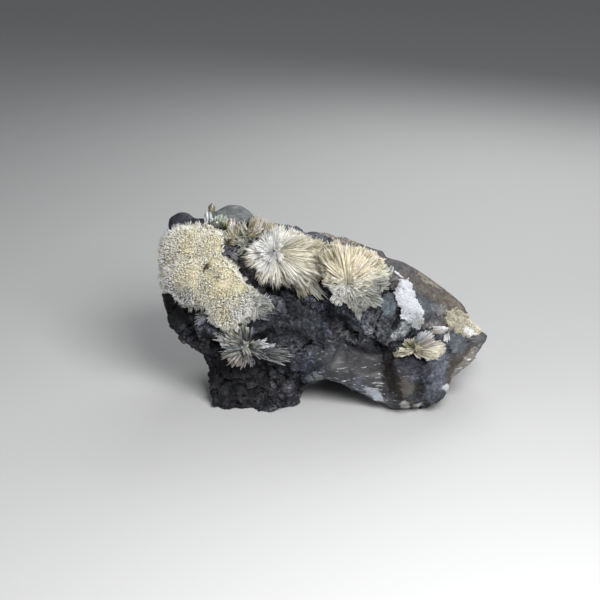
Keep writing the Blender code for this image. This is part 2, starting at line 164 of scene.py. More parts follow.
@dataclass(frozen=True)
class Crystal:
    """A crystal one unit long and two wide that stands on the origin along Z."""

    cut: Cut
    sides: int = 4
    foot: float = 0.7             # width at its foot, as a share of that at its shoulder
    shoulder: float = 0.8         # where it starts to narrow, as a share of its length

    def build(self) -> tuple[np.ndarray, list[list[int]]]:
        """Its corners, one row each, and the corners of each face.

        Returns:
            The corners and the faces.
        """
        bm = bmesh.new()
        bmesh.ops.create_cone(
            bm, cap_ends=True, segments=self.sides, radius1=self.foot, radius2=1, depth=self.shoulder
        )
        bmesh.ops.translate(bm, vec=(0, 0, self.shoulder / 2), verts=bm.verts)
        top = max(bm.faces, key=lambda face: face.calc_center_median().z)
        end = bmesh.ops.extrude_discrete_faces(bm, faces=[top])["faces"][0]
        bmesh.ops.translate(bm, vec=(0, 0, 1 - self.shoulder), verts=end.verts)
        if self.cut is Cut.POINT:
            bmesh.ops.pointmerge(bm, verts=end.verts, merge_co=(0, 0, 1))
        elif self.cut is Cut.CHISEL:
            bmesh.ops.scale(bm, vec=(0.5, 0.05, 1), verts=end.verts)
        else:
            bmesh.ops.scale(bm, vec=(0.55, 0.55, 1), verts=end.verts)
        bmesh.ops.recalc_face_normals(bm, faces=bm.faces)
        bm.verts.index_update()
        points = np.array([vert.co for vert in bm.verts])
        faces = [[vert.index for vert in face.verts] for face in bm.faces]
        bm.free()
        return points, faces


class Cluster:
    """Gathers crystals and cores into one mesh."""

    def __init__(self) -> None:
        """Start with nothing."""
        self.points: list[np.ndarray] = []
        self.corners: list[np.ndarray] = []
        self.sizes: list[np.ndarray] = []
        self.tints: list[np.ndarray] = []
        self.alongs: list[np.ndarray] = []
        self.count = 0

    def add(self, points: np.ndarray, faces: list[list[int]], tints: np.ndarray, along: np.ndarray) -> None:
        """Add copies of one shape.

        Args:
            points: corners of every copy, as copies by corners by three.
            faces: the corners of each face of one copy.
            tints: one colour for each copy, or for each corner of a single one.
            along: how far from the foot each corner lies, from 0 to 1, the same in every copy.
        """
        copies, corners = points.shape[:2]
        order = np.concatenate([np.array(face) for face in faces])
        first = self.count + np.arange(copies)[:, None] * corners
        self.points.append(points.reshape(-1, 3))
        self.corners.append((first + order).reshape(-1))
        self.sizes.append(np.tile([len(face) for face in faces], copies))
        self.tints.append(np.repeat(tints, corners, axis=0) if len(tints) == copies else tints)
        self.alongs.append(np.tile(along, copies))
        self.count += copies * corners

    def stand(self, crystal: Crystal, stems: "Stems", tints: np.ndarray) -> None:
        """Add a crystal for every stem.

        Args:
            crystal: the shape that is repeated.
            stems: where the crystals stand and how large they are.
            tints: one colour for each stem.
        """
        unit, faces = crystal.build()
        other = np.cross(stems.ways, stems.sides)
        points = (
            stems.feet[:, None, :]
            + unit[None, :, 0, None] * (stems.sides * stems.widths[:, None])[:, None, :]
            + unit[None, :, 1, None] * (other * stems.depths[:, None])[:, None, :]
            + unit[None, :, 2, None] * (stems.ways * stems.lengths[:, None])[:, None, :]
        )
        self.add(points, faces, tints, unit[:, 2])

    def finish(self, name: str) -> bpy.types.Object:
        """The mesh as an object, in metres.

        Args:
            name: what the object is called.

        Returns:
            The object, at the origin.
        """
        mesh = bpy.data.meshes.new(name)
        points = np.concatenate(self.points) * MM
        corners = np.concatenate(self.corners)
        sizes = np.concatenate(self.sizes)
        mesh.vertices.add(len(points))
        mesh.vertices.foreach_set("co", points.astype(np.float32).ravel())
        mesh.loops.add(len(corners))
        mesh.loops.foreach_set("vertex_index", corners.astype(np.int32))
        mesh.polygons.add(len(sizes))
        mesh.polygons.foreach_set("loop_start", (np.cumsum(sizes) - sizes).astype(np.int32))
        mesh.update(calc_edges=True)
        store_colours(mesh, "tint", np.concatenate(self.tints))
        store_numbers(mesh, "along", np.concatenate(self.alongs))
        thing = bpy.data.objects.new(name, mesh)
        bpy.context.scene.collection.objects.link(thing)
        return thing


def store_colours(mesh: bpy.types.Mesh, name: str, colours: np.ndarray) -> None:
    """Keep a colour for each corner of a mesh.

    Args:
        mesh: what they are kept in.
        name: the attribute's name.
        colours: one row each.
    """
    layer = mesh.attributes.new(name, "FLOAT_COLOR", "POINT")
    filled = np.ones((len(colours), 4), np.float32)
    filled[:, :3] = colours
    layer.data.foreach_set("color", filled.ravel())


def store_numbers(mesh: bpy.types.Mesh, name: str, numbers: np.ndarray) -> None:
    """Keep a number for each corner of a mesh."""
    layer = mesh.attributes.new(name, "FLOAT", "POINT")
    layer.data.foreach_set("value", numbers.astype(np.float32))


@dataclass
class Stems:
    """Where crystals stand: feet, ways, sides, lengths, half widths and half depths, in millimetres."""

    feet: np.ndarray
    ways: np.ndarray
    sides: np.ndarray
    lengths: np.ndarray
    widths: np.ndarray
    depths: np.ndarray

    def kept(self, which: np.ndarray) -> "Stems":
        """The stems that are marked true.

        Args:
            which: true for each stem that stays.

        Returns:
            Those stems.
        """
        return Stems(
            self.feet[which], self.ways[which], self.sides[which],
            self.lengths[which], self.widths[which], self.depths[which],
        )

    def tips(self) -> np.ndarray:
        """Where the crystals end."""
        return self.feet + self.ways * self.lengths[:, None]


def unit(vectors: np.ndarray) -> np.ndarray:
    """Each row at length one."""
    return vectors / np.linalg.norm(vectors, axis=1, keepdims=True)


def even_ways(count: int, uneven: float, dice: np.random.Generator) -> np.ndarray:
    """Directions spread evenly over a ball, each nudged a little.

    Args:
        count: how many.
        uneven: size of the nudge, as a share of the spacing.
        dice: where chance comes from.

    Returns:
        One direction in each row.
    """
    k = np.arange(count)
    z = 1 - 2 * (k + 0.5) / count
    ring = np.sqrt(1 - z * z)
    angle = math.pi * (3 - math.sqrt(5)) * k
    ways = np.stack([ring * np.cos(angle), ring * np.sin(angle), z], axis=1)
    spacing = math.sqrt(4 * math.pi / count)
    return unit(ways + dice.uniform(-1, 1, ways.shape) * spacing * uneven)


def side_of(ways: np.ndarray, dice: np.random.Generator) -> np.ndarray:
    """A direction square to each way, turned by chance."""
    return unit(np.cross(ways, unit(dice.normal(size=ways.shape))))


@dataclass(frozen=True)
class Growth:
    """How crystals that share one centre have grown."""

    bundles: int                  # on the whole ball
    crystals: int = 5             # side by side in a bundle
    width: float = 0.3            # of one crystal
    fan: float = 0.03             # how far a bundle fans out, in radians
    start: float = 1.5            # how far from the centre the crystals start
    crown: float = 1.0            # length on the axis, as a share of that at the rim
    ragged: float = 0.2           # how much the lengths differ
    lowest: float = -0.3          # how far round the ball they go: 1 is along the axis, -1 behind
    steepest: float = 1.0         # how near the axis they come
    cut: Cut = Cut.POINT
    uneven: float = 0.4           # how far bundles stray, as a share of their spacing
    twist: float = 0.35           # how much the bundles turn about their own way
    stray: float = 0.012          # how far each crystal strays, in radians


@dataclass(frozen=True)
class Burst:
    """The room that a burst fills, with the same place and size as in the solid."""

    across: float
    up: float
    reach: float
    sink: float = 0.15
    lift: float = 0.0
    core: float = 0.45            # radius of the solid middle, as a share of the reach
    flat: float = 1.0             # height of that middle, as a share of its width
    matted: bool = False


@dataclass(frozen=True)
class Star:
    """Crystals that radiate from one centre as far as the bursts of their spray go."""

    across: float
    up: float
    growth: Growth
    sink: float = 1.5             # depth of the centre under the stone's skin
    spread: float = 6.0           # radius of the stone that sets its axis


@dataclass(frozen=True)
class Rim:
    """The outline of a spray as it is seen from the front."""

    points: tuple[Spot, ...]

    def holds(self, spots: np.ndarray, inset: float = 0.0) -> np.ndarray:
        """Which of the seen spots lie inside.

        Args:
            spots: seen places, one row each.
            inset: how far inside they must lie.

        Returns:
            True for each spot that does.
        """
        corners = np.array(self.points)
        middle = corners.mean(axis=0)
        away = spots - middle
        far = np.linalg.norm(away, axis=1, keepdims=True)
        x, y = (spots + away / np.maximum(far, 1e-6) * inset).T
        inside = np.zeros(len(spots), bool)
        for (x0, y0), (x1, y1) in zip(corners, np.roll(corners, -1, axis=0)):
            if y0 != y1:
                inside ^= ((y0 > y) != (y1 > y)) & (x < (x1 - x0) * (y - y0) / (y1 - y0) + x0)
        return inside

    def fit(self, feet: np.ndarray, tips: np.ndarray, inset: float = 0.0) -> np.ndarray:
        """The largest share of the way from each foot to its tip that ends inside, or 0.

        Args:
            feet: where the crystals stand.
            tips: where they end.
            inset: how far inside they must end.

        Returns:
            A share from 0 to 1 for each crystal.
        """
        best = np.zeros(len(feet))
        for share in np.linspace(0.1, 1, 19):
            best[self.holds(seen(feet + (tips - feet) * share), inset)] = share
        return best


@dataclass(frozen=True)
class Mat:
    """Needles that stand side by side all over a burst, in tufts."""

    spacing: float = 0.5
    tuft: float = 3.6             # distance between tufts
    splay: float = 1.3            # how far the needles of a tuft fan out
    stray: float = 0.17           # how far each needle strays
    lump: float = 0.045           # how much lower a tuft is at its edge, as a share of the reach
    height: float = 1.03          # of the longest needles from the centre, as a share of the reach
    ragged: float = 0.1           # how much the lengths differ
    lowest: float = -0.25         # how far round the ball they go: 1 is along the axis, -1 behind
    width: float = 0.46           # of one needle


@dataclass(frozen=True)
class Fan:
    """Crystals side by side that spread from one seen place to another."""

    foot: Spot
    tip: Spot
    narrow: float                 # half width at the foot
    wide: float                   # half width at the tips
    colour: Colour | None = None      # None for the colour of the place
    rise: float = 2.5             # how far the tips stand off the stone
    lift: float = 0.0             # how far the foot stands off it
    width: float = 0.27           # of one crystal
    layers: int = 3
    ragged: float = 0.3
    cut: Cut = Cut.CHISEL
    deepest: float = 2.5          # how far the tips may lie behind the foot
    stray: float = 0.2            # how far each tip strays
    close: float = 0.62           # distance between neighbours, as a share of their width
    bundle: int = 3               # crystals that stray together
    wander: float = 1.2           # how far the bundles' tips stray along the line of sight

    def stems(self, ground: "Ground", dice: np.random.Generator) -> Stems:
        """Where its crystals stand.

        Args:
            ground: the stone.
            dice: where chance comes from.

        Returns:
            A stem for each crystal.
        """
        own_foot, own_tip = np.array(self.foot), np.array(self.tip)
        found = None
        while found is None:
            found = ground.hit(*own_foot)
            if found is None:
                own_foot = own_foot + (own_foot - own_tip) * 0.3
        depth = (found[0] - SHIFT).dot(FRONT)
        behind = ground.hit(*own_tip)
        end_depth = depth + self.deepest
        if behind:
            end_depth = min((behind[0] - SHIFT).dot(FRONT), end_depth)
        foot = np.array(on_front(*own_foot, depth - self.lift + 0.4))
        tip = np.array(on_front(*own_tip, end_depth - self.rise))
        toward = -np.array(FRONT)
        across = unit(np.cross(tip - foot, toward)[None])[0]
        each = max(2, round(2 * self.wide / (self.width * self.close)))
        offset = np.tile(np.linspace(-1, 1, each), self.layers)
        level = np.repeat(np.linspace(-1, 1, self.layers), each) if self.layers > 1 else np.zeros(each)
        count = len(offset)
        common = dice.uniform(0, 1, (count, 3))[np.arange(count) // self.bundle]
        offset = offset + dice.uniform(-1.3, 1.3, count) / each
        feet = foot + np.outer(offset * self.narrow, across) + np.outer(level * 0.3, toward)
        tips = tip + np.outer(offset * self.wide, across) + np.outer(level * 0.2 * self.rise, toward)
        tips += np.outer((common[:, 0] - 0.5) * self.wander, toward) + dice.normal(0, self.stray, tips.shape)
        ways = tips - feet
        short = 0.1 * offset**2 + self.ragged * (0.65 * common[:, 1] + 0.35 * dice.uniform(0, 1, count))
        lengths = np.linalg.norm(ways, axis=1) * (1.06 - short)
        ways = unit(ways)
        sides = unit(across + (common - 0.5) * 0.9 + dice.normal(0, 0.2, (count, 3)))
        sides = unit(sides - ways * np.sum(sides * ways, axis=1, keepdims=True))
        widths = self.width / 2 * dice.uniform(0.7, 1.5, count)
        return Stems(feet, ways, sides, lengths, widths, widths * dice.uniform(0.35, 0.7, count))


@dataclass(frozen=True)
class Fringe:
    """Small fans all along an outline that point outwards, with sizes between two values."""

    step: float = 1.1             # distance between two of them
    inward: Range = (1.5, 3.5)     # how far inside the outline they start
    outward: Range = (-0.4, 2.4)   # how far outside it they end
    lean: float = 0.6             # how far they stray along it
    wide: Range = (0.3, 1.0)       # half width at the tips
    rise: Range = (0.8, 3.6)
    lift: Range = (0.5, 3.0)

    def fans(self, rim: Rim, dice: np.random.Generator) -> list[Fan]:
        """The fans, one after another along the outline.

        Args:
            rim: the outline.
            dice: where chance comes from.

        Returns:
            The fans.
        """
        corners = np.array(rim.points)
        found = []
        for start, end in zip(corners, np.roll(corners, -1, axis=0)):
            along = end - start
            length = float(np.linalg.norm(along))
            out = np.array((-along[1], along[0])) / length
            for k in range(max(1, round(length / self.step))):
                spot = start + along * (k + dice.uniform(0, 1)) * self.step / length
                lean = dice.normal(0, self.lean) * along / length
                foot = spot - out * dice.uniform(*self.inward)
                tip = spot + out * dice.uniform(*self.outward) + lean
                found.append(
                    Fan(
                        tuple(foot), tuple(tip), 0.4, dice.uniform(*self.wide), None,
                        dice.uniform(*self.rise), dice.uniform(*self.lift),
                        width=0.3, layers=2, ragged=0.45, cut=Cut.POINT,
                    )
                )
        return found


@dataclass(frozen=True)
class Rosette:
    """Flat bundles of rays from one seen place to the outline all round it."""

    across: float
    up: float
    count: int
    lift: float                   # how far the rays' feet stand off the stone
    rise: float                   # how far their tips do
    shortest: float = 0.62        # of the way to the outline
    farthest: float = 22.0        # however far off the outline is
    width: float = 0.3            # of one crystal

    def fans(self, rim: Rim, dice: np.random.Generator) -> list[Fan]:
        """The bundles, one after another round the centre.

        Args:
            rim: the outline that the rays reach for.
            dice: where chance comes from.

        Returns:
            A fan for each bundle.
        """
        centre = np.array((self.across, self.up))
        steps = np.arange(1, self.farthest, 0.25)
        found = []
        for k in range(self.count):
            turn = 2 * math.pi * (k + dice.uniform(-0.4, 0.4)) / self.count
            way = np.array((math.cos(turn), math.sin(turn)))
            inside = rim.holds(centre + np.outer(steps, way))
            free = steps[-1] if inside.all() else steps[np.argmin(inside)]
            length = free * dice.uniform(self.shortest, 1.03)
            foot = centre + way * dice.uniform(0.2, 1.4)
            tip = centre + way * length
            found.append(
                Fan(
                    tuple(foot), tuple(tip), 0.35, length * math.pi / self.count * 1.5, None,
                    rise=self.rise * dice.uniform(0.6, 1.2), lift=self.lift, layers=2, ragged=0.4,
                    width=self.width, cut=Cut.POINT, deepest=1.5,
                )
            )
        return found


@dataclass(frozen=True)
class Palette:
    """Colours of a spray's crystals by place."""

    plain: Colour
    patches: tuple[tuple[Patch, Colour], ...] = ()
    spread: float = 0.14          # how much neighbours differ in brightness
    edge: float = 0.18            # how uneven the patches' edges are
    brightest: float = 0.97

    def tints(self, points: np.ndarray, dice: np.random.Generator) -> np.ndarray:
        """The colour of each crystal whose tip is given, in millimetres.

        Args:
            points: the tips, one row each.
            dice: where chance comes from.

        Returns:
            One colour in each row.
        """
        spots = seen(points)
        colours = np.tile(np.array(self.plain), (len(points), 1))
        rough = dice.normal(0, self.edge, len(points))
        for patch, colour in self.patches:
            share = patch.share(spots, rough)[:, None]
            colours = colours * (1 - share) + np.array(colour) * share
        light = 1 + dice.normal(0, self.spread, (len(points), 1))
        return np.clip(colours * light, 0, self.brightest)


class Ground:
    """The solid stone, for finding where things stand on it."""

    def __init__(self, node: bpy.types.Object) -> None:
        """Read the stone's solid, its loose triangles merged.

        Args:
            node: the stone's node, in metres.
        """
        self.bm = bmesh.new()
        self.bm.from_mesh(node.data)
        bmesh.ops.remove_doubles(self.bm, verts=self.bm.verts, dist=1e-6)
        bmesh.ops.scale(self.bm, vec=(1 / MM,) * 3, verts=self.bm.verts)
        self.bm.normal_update()
        self.tree = BVHTree.FromBMesh(self.bm)

    def hit(self, across: float, up: float) -> tuple[Vector, Vector] | None:
        """The point and normal where a look from the front meets the stone."""
        spot, normal = self.tree.ray_cast(on_front(across, up, -FAR), FRONT)[:2]
        return None if spot is None else (spot, normal)

    def seat(self, burst: Burst) -> Seat:
        """Where a burst has grown, found as for its solid."""
        spot, axis = self.facing(burst.across, burst.up, burst.reach * 0.7)
        return Seat(spot - axis * burst.sink * burst.reach - FRONT * burst.lift, axis, burst.reach)

    def facing(self, across: float, up: float, radius: float) -> tuple[Vector, Vector]:
        """The point of the stone seen at a place, and how the stone round it faces.

        Args:
            across: the seen place.
            up: the same.
            radius: how much of the stone round it counts.

        Returns:
            The point and the direction.
        """
        spot, _ = self.hit(across, up)
        around = [found[1] for found in self.tree.find_nearest_range(spot, radius)]
        return spot, sum(around, Vector()).normalized()


@dataclass(frozen=True)
class Site:
    """Where a piece grows: the stone, the box that holds it all, and the other sprays' bursts."""

    ground: Ground
    low: np.ndarray
    high: np.ndarray
    strangers: tuple[Seat, ...] = ()
    slack: float = 0.8            # how far crystals may pass the plane between two bursts
    nearest: float = 0.3          # how near such a plane comes to either, as a share of the way
    farthest: float = 0.7

    def box_room(self, feet: np.ndarray, ways: np.ndarray) -> np.ndarray:
        """How far each crystal can go before it leaves the box.

        Args:
            feet: where the crystals stand.
            ways: where they point.

        Returns:
            The longest length of each crystal.
        """
        with np.errstate(divide="ignore", invalid="ignore"):
            out = np.where(ways > 0, (self.high - feet) / ways, (self.low - feet) / ways)
        return np.nan_to_num(out, nan=np.inf).min(axis=1)

    def room(self, feet: np.ndarray, ways: np.ndarray, own: Seat) -> np.ndarray:
        """How far each crystal can go before it meets a plane that parts its burst from a stranger.

        Args:
            feet: where the crystals stand.
            ways: where they point.
            own: their burst's seat.

        Returns:
            The longest length of each crystal.
        """
        free = np.full(len(feet), np.inf)
        for other in self.strangers:
            between = np.array(other.centre - own.centre)
            apart = np.linalg.norm(between)
            share = 0.5 + (own.reach**2 - other.reach**2) / (2 * apart**2)
            plane = apart * min(max(share, self.nearest), self.farthest)
            toward = between / apart
            facing = ways @ toward
            left = plane + self.slack - (feet - np.array(own.centre)) @ toward
            meets = facing > 1e-3
            free[meets] = np.minimum(free[meets], left[meets] / facing[meets])
        return np.clip(free, 0, None)


class Graph:
    """A material's nodes, made and joined in few words."""

    def __init__(self, name: str) -> None:
        """Start with the plain shader of a new material.

        Args:
            name: what the material is called.
        """
        self.material = bpy.data.materials.new(name)
        self.material.use_nodes = True
        tree = self.material.node_tree
        self.nodes, self.links = tree.nodes, tree.links
        self.shader = self.nodes["Principled BSDF"]

    def put(self, node: bpy.types.Node, **values: object) -> None:
        """Set a node's inputs, or join them where the value is another node's output.

        Args:
            node: whose inputs they are.
            **values: by input name, with _ for a space.
        """
        for name, value in values.items():
            socket = node.inputs[name.replace("_", " ")]
            if isinstance(value, bpy.types.NodeSocket):
                self.links.new(value, socket)
            else:
                socket.default_value = value

    def node(self, kind: str, **values: object) -> bpy.types.Node:
        """A new node of a kind, with some of its inputs set or joined.

        Args:
            kind: its type, without the common prefix.
            **values: as for put.

        Returns:
            The node.
        """
        made = self.nodes.new("ShaderNode" + kind)
        self.put(made, **values)
        return made

    def place(self) -> bpy.types.NodeSocket:
        """The piece's own coordinates."""
        return self.node("TexCoord").outputs["Object"]

    def attribute(self, name: str, output: str = "Fac") -> bpy.types.NodeSocket:
        """A value or colour that the mesh holds.

        Args:
            name: the attribute's name.
            output: Fac for a value, Color for a colour.

        Returns:
            What it gives.
        """
        made = self.node("Attribute")
        made.attribute_name = name
        return made.outputs[output]

    def cloud(self, vector: bpy.types.NodeSocket, scale: float, detail: float) -> bpy.types.NodeSocket:
        """A noise from 0 to 1."""
        return self.node("TexNoise", Vector=vector, Scale=scale, Detail=detail).outputs["Fac"]

    def ranged(
        self, value: bpy.types.NodeSocket, before: Range, after: Range
    ) -> bpy.types.NodeSocket:
        """A value brought from one range to another.

        Args:
            value: the value.
            before: its lowest and highest.
            after: what those become.

        Returns:
            The new value, held between the last two.
        """
        made = self.node(
            "MapRange", Value=value,
            From_Min=before[0], From_Max=before[1], To_Min=after[0], To_Max=after[1],
        )
        return made.outputs["Result"]

    def product(self, first: bpy.types.NodeSocket, second: bpy.types.NodeSocket) -> bpy.types.NodeSocket:
        """Two values multiplied.

        Args:
            first: one value.
            second: the other.

        Returns:
            Their product.
        """
        made = self.node("Math")
        made.operation = "MULTIPLY"
        self.links.new(first, made.inputs[0])
        self.links.new(second, made.inputs[1])
        return made.outputs["Value"]

    def scaled(self, colour: bpy.types.NodeSocket, share: bpy.types.NodeSocket) -> bpy.types.NodeSocket:
        """A colour made brighter or darker.

        Args:
            colour: the colour.
            share: what it is multiplied by.

        Returns:
            The new colour.
        """
        made = self.node("VectorMath")
        made.operation = "SCALE"
        self.links.new(colour, made.inputs[0])
        self.put(made, Scale=share)
        return made.outputs["Vector"]


@dataclass(frozen=True)
class CrystalFinish:
    """Glossy, slightly clear crystal that takes its colour from each crystal's tint, darkened towards the
    feet as painted shade.
    """

    name: str
    roughness: float = 0.32
    scatter: float = 0.5          # share of light that spreads inside
    clear: float = 0.0            # share that passes straight through
    foot_light: float = 0.85      # painted shade: brightness at the foot, as a share of the tip's
    tip_light: float = 1.05
    mottle: Range = (0.86, 1.08)      # change of brightness along and across
    grain: float = 900.0          # scale of that change, per metre
    ior: float = 1.6
    bleed: float = 0.0018         # how far light spreads inside, in metres

    def build(self) -> bpy.types.Material:
        """The material.

        Returns:
            One that reads the attributes tint and along.
        """
        graph = Graph(self.name)
        cloud = graph.cloud(graph.place(), self.grain, 3)
        # painted shade that darkens each crystal towards its foot
        rise = graph.ranged(graph.attribute("along"), (0, 1), (self.foot_light, self.tip_light))
        mottle = graph.ranged(cloud, (0.3, 0.7), self.mottle)
        gloss = graph.ranged(cloud, (0, 1), (self.roughness * 0.7, self.roughness * 1.3))
        graph.put(
            graph.shader,
            Base_Color=graph.scaled(graph.attribute("tint", "Color"), graph.product(rise, mottle)),
            Roughness=gloss,
            IOR=self.ior,
            Transmission_Weight=self.clear,
            Subsurface_Weight=self.scatter,
            Subsurface_Radius=(1.0, 0.85, 0.6),
            Subsurface_Scale=self.bleed,
        )
        return graph.material


@dataclass(frozen=True)
class StoneFinish:
    """Dark broken stone with waxy, clear and weathered areas, from the stone's own attributes, with painted
    shade in its hollows and painted light on its high points.
    """

    name: str = "broken stone"
    dull: float = 0.72            # roughness of dull stone
    waxy: float = 0.4             # roughness of waxy stone
    clouds: float = 520.0         # scales of the three noises, per metre
    specks: float = 1300.0
    pores: float = 2600.0
    pore_depth: float = 0.00035   # in metres
    # colour of the white streaks, which are partly white flecks and partly painted glints
    streak: Colour = shade(205, 207, 212)
    streak_turn: float = 35.0     # degrees that the streaks slope
    streak_scale: Triple = (350.0, 700.0, 1600.0)

    def build(self) -> bpy.types.Material:
        """The material.

        Returns:
            One that reads the attributes ground, height, gloss and streaks.
        """
        graph = Graph(self.name)
        place = graph.place()
        gloss = graph.attribute("gloss")
        broad = graph.cloud(place, self.clouds, 8)
        mottle = graph.ranged(broad, (0.36, 0.66), (0.55, 1.8))
        grain = graph.ranged(graph.cloud(place, self.specks, 4), (0.42, 0.64), (0.55, 2.0))
        # painted shade in the cracks and hollows and painted light on the high points, from the relief's
        # height
        wear_and_relief_shading = graph.ranged(graph.attribute("height"), (-1.1, 0.7), (0.08, 1.7))
        blend = graph.node(
            "Mix",
            Factor=graph.ranged(gloss, (0.15, 0.5), (0, 1)),
            A=graph.product(graph.product(mottle, grain), wear_and_relief_shading),
            B=graph.ranged(broad, (0.3, 0.7), (0.82, 1.18)),
        )
        bare = graph.scaled(graph.attribute("ground", "Color"), blend.outputs["Result"])
        bump = graph.node(
            "Bump", Distance=self.pore_depth,
            Strength=graph.ranged(gloss, (0, 1), (0.75, 0.12)), Height=graph.cloud(place, self.pores, 6),
        )
        graph.put(
            graph.shader,
            Base_Color=self.streaked(graph, place, bare),
            Roughness=graph.ranged(gloss, (0, 1), (self.dull, self.waxy)),
            Normal=bump.outputs["Normal"],
            Subsurface_Weight=0.06,
            Subsurface_Radius=(1.0, 0.9, 0.8),
            Subsurface_Scale=0.0015,
            Specular_IOR_Level=0.22,
        )
        return graph.material

    def streaked(
        self, graph: Graph, place: bpy.types.NodeSocket, bare: bpy.types.NodeSocket
    ) -> bpy.types.NodeSocket:
        """The stone's colour with the white streaks laid over it, partly white flecks and partly painted
        glints.

        Args:
            graph: the material's nodes.
            place: the piece's own coordinates.
            bare: the colour without streaks.

        Returns:
            The colour with them.
        """
        drawn = graph.node(
            "Mapping", Vector=place, Rotation=(0, math.radians(self.streak_turn), 0), Scale=self.streak_scale
        )
        white = graph.ranged(graph.cloud(drawn.outputs["Vector"], 1.0, 4), (0.58, 0.66), (0, 1))
        mix = graph.node("Mix")
        mix.data_type = "RGBA"
        factor, under, over = (mix.inputs[name] for name in ("Factor", "A", "B"))
        graph.links.new(graph.product(white, graph.attribute("streaks")), factor)
        graph.links.new(bare, under)
        over.default_value = (*self.streak, 1)
        return mix.outputs["Result"]


@dataclass
class Stone:
    """The loose stone that everything grows on."""

    site: Site
    grid: float = 0.57            # cell of its skin
    # size and steepness of the fracture faces, size and height of the grain, and size, width
    # and depth of the cracks
    facet: tuple[tuple[float, float], ...] = ((8.5, 2.5), (4.0, 1.3))
    grain: tuple[tuple[float, float], ...] = ((2.2, 0.14), (0.9, 0.06))
    cracks: tuple[Triple, ...] = ((12.0, 0.03, 1.3), (5.5, 0.03, 0.7))
    base: Colour = shade(44, 45, 51)
    relax: int = 9                # rounds of smoothing where it is calm
    flatter: float = 0.88         # share of the relief that calm areas lose
    sink: float = 0.2             # how far the skin lies under the solid's
    patchy: float = 0.45          # how much brightness changes by place
    sheen: float = 0.12           # gloss of the bare rock
    tones: tuple[Tone, ...] = (
        # painted shade over the middle of the rock, and painted light on a lower part to its right
        Tone(Patch((-11, 24), (10, 7), 0, 0.9), shade(33, 34, 38), 0.12, 0.7),
        Tone(Patch((12, 18.5), (7, 3.5), 20, 0.8), shade(68, 69, 74), 0.12, 0.8),
        # the weathered brown face at the back right, with its pale rim
        Tone(Patch((38, 35), (22, 11), -35), shade(80, 76, 72), 0.4),
        Tone(Patch((41, 29), (6, 3), -30), shade(92, 86, 78), 0.4, 0.8),
        Tone(Patch((34, 37.6), (6, 1.3), -33), shade(134, 125, 114), 0.4, 0.7),
        Tone(Patch((24, 44), (10, 4), -22), shade(74, 72, 73), 0.34),
        # the smoky, waxy slope, bluer towards its lower edge, its white streaks partly painted glints
        Tone(Patch((14, 3), (17, 10.5), -28), shade(50, 50, 51), 0.85, streaks=0.4),
        Tone(Patch((14, -1.5), (10, 4), -30), shade(66, 69, 76), 0.9, streaks=0.7),
        Tone(Patch((9, 11), (9, 3.4), 5, 0.9), shade(66, 66, 69), 0.6, 0.8),
        Tone(Patch((2.6, 11), (1.6, 1.2), 30), shade(66, 66, 68), 0.8, 0.6),
        Tone(Patch((16.5, -0.7), (3.4, 1.6), -35), shade(160, 165, 173), 0.9, 0.75),
        # the clear right edge and the glassy tip, their white streaks partly painted glints
        Tone(Patch((46, 8), (11, 6), 50), shade(66, 61, 56), 0.8, streaks=0.15),
        Tone(Patch((46, 8.5), (8.5, 2), 53), shade(116, 112, 106), 0.9, streaks=0.9),
        Tone(Patch((51, 17.5), (4, 2.6), -30), shade(70, 70, 72), 0.8, streaks=0.3),
        # slate-blue skins, and the stripe that goes down from the ledge
        Tone(Patch((20, 28.8), (2.4, 3.6)), shade(68, 75, 81), 0.36),
        Tone(Patch((32, 28), (6, 3.4), -45), shade(70, 74, 81), 0.36),
        Tone(Patch((38, 27), (2.8, 2.2)), shade(100, 101, 103), 0.34, 0.8),
        Tone(Patch((43.4, 16.5), (2.9, 3.7)), shade(74, 78, 84), 0.36),
        Tone(Patch((36.5, 7), (2.6, 9.5), -6), shade(80, 83, 92), 0.34),
        Tone(Patch((34, 0.5), (3.6, 3)), shade(70, 72, 80), 0.34),
        Tone(Patch((28.5, 9.3), (6.5, 2.6), -8), shade(50, 50, 58), 0.34),
        # the pale ridge above the ledge
        Tone(Patch((24.5, 20.5), (5, 1.6), 42, 0.8), shade(128, 131, 132), 0.3, 0.8),
        # painted shade: the foot and the left end made nearly black
        Tone(Patch((-34, 4), (24, 11), -8, 0.9), shade(9, 9, 11), 0.12, 0.92),
        Tone(Patch((-52, 26), (10, 11), 0, 0.6), shade(9, 9, 11), 0.12, 0.9),
        # the pale strip behind the fan on the ledge
        Tone(Patch((36, 21.6), (5.5, 1.2), -12), shade(96, 94, 92), 0.3, 0.8),
        # dark channels left of the slate-blue stripe, with a clear bump between them
        Tone(Patch((21.7, 4.7), (2.4, 8), 18), shade(28, 25, 23), 0.5, 0.9),
        Tone(Patch((31, 1.5), (1.6, 3.2), 0), shade(32, 30, 29), 0.4, 0.9),
        Tone(Patch((26.7, 2), (2.4, 3), 10), shade(78, 75, 71), 0.9, 0.9),
        # small clear crystals along the lower edge
        Tone(Patch((26, -4.2), (2, 1.2), -20), shade(178, 178, 176), 0.9, 0.8),
        Tone(Patch((30.5, -4.4), (1.8, 0.8), 20), shade(168, 166, 160), 0.9, 0.8),
        Tone(Patch((39.6, 1.6), (1, 1.6), 30), shade(200, 205, 205), 0.9, 0.8),
        # painted light on the foot's right side
        Tone(Patch((-18, 1), (9, 4), 20, 0.9), shade(56, 56, 60), 0.12, 0.7),
        # knobs and the crest
        Tone(Patch((-48, 56.3), (7, 6)), shade(43, 45, 51), 0.34),
        Tone(Patch((-28.7, 60), (9, 4.5)), shade(94, 96, 97), 0.4),
        Tone(Patch((-3.3, 53), (12, 3.2), -8), shade(66, 68, 73), 0.2),
        Tone(Patch((6, 51), (7, 1.6), -14), shade(128, 119, 108), 0.2, 0.7),
        # a pale, a greenish and a white spot
        Tone(Patch((-3.5, 4.5), (3, 1.8)), shade(88, 91, 95), 0.6, 0.8),
        Tone(Patch((6.7, 19.7), (2.6, 1.6)), shade(56, 61, 57), 0.2, 0.6),
        Tone(Patch((24, 38.8), (1.8, 0.35), -40), shade(205, 205, 210), 0.5, 0.9),
    )
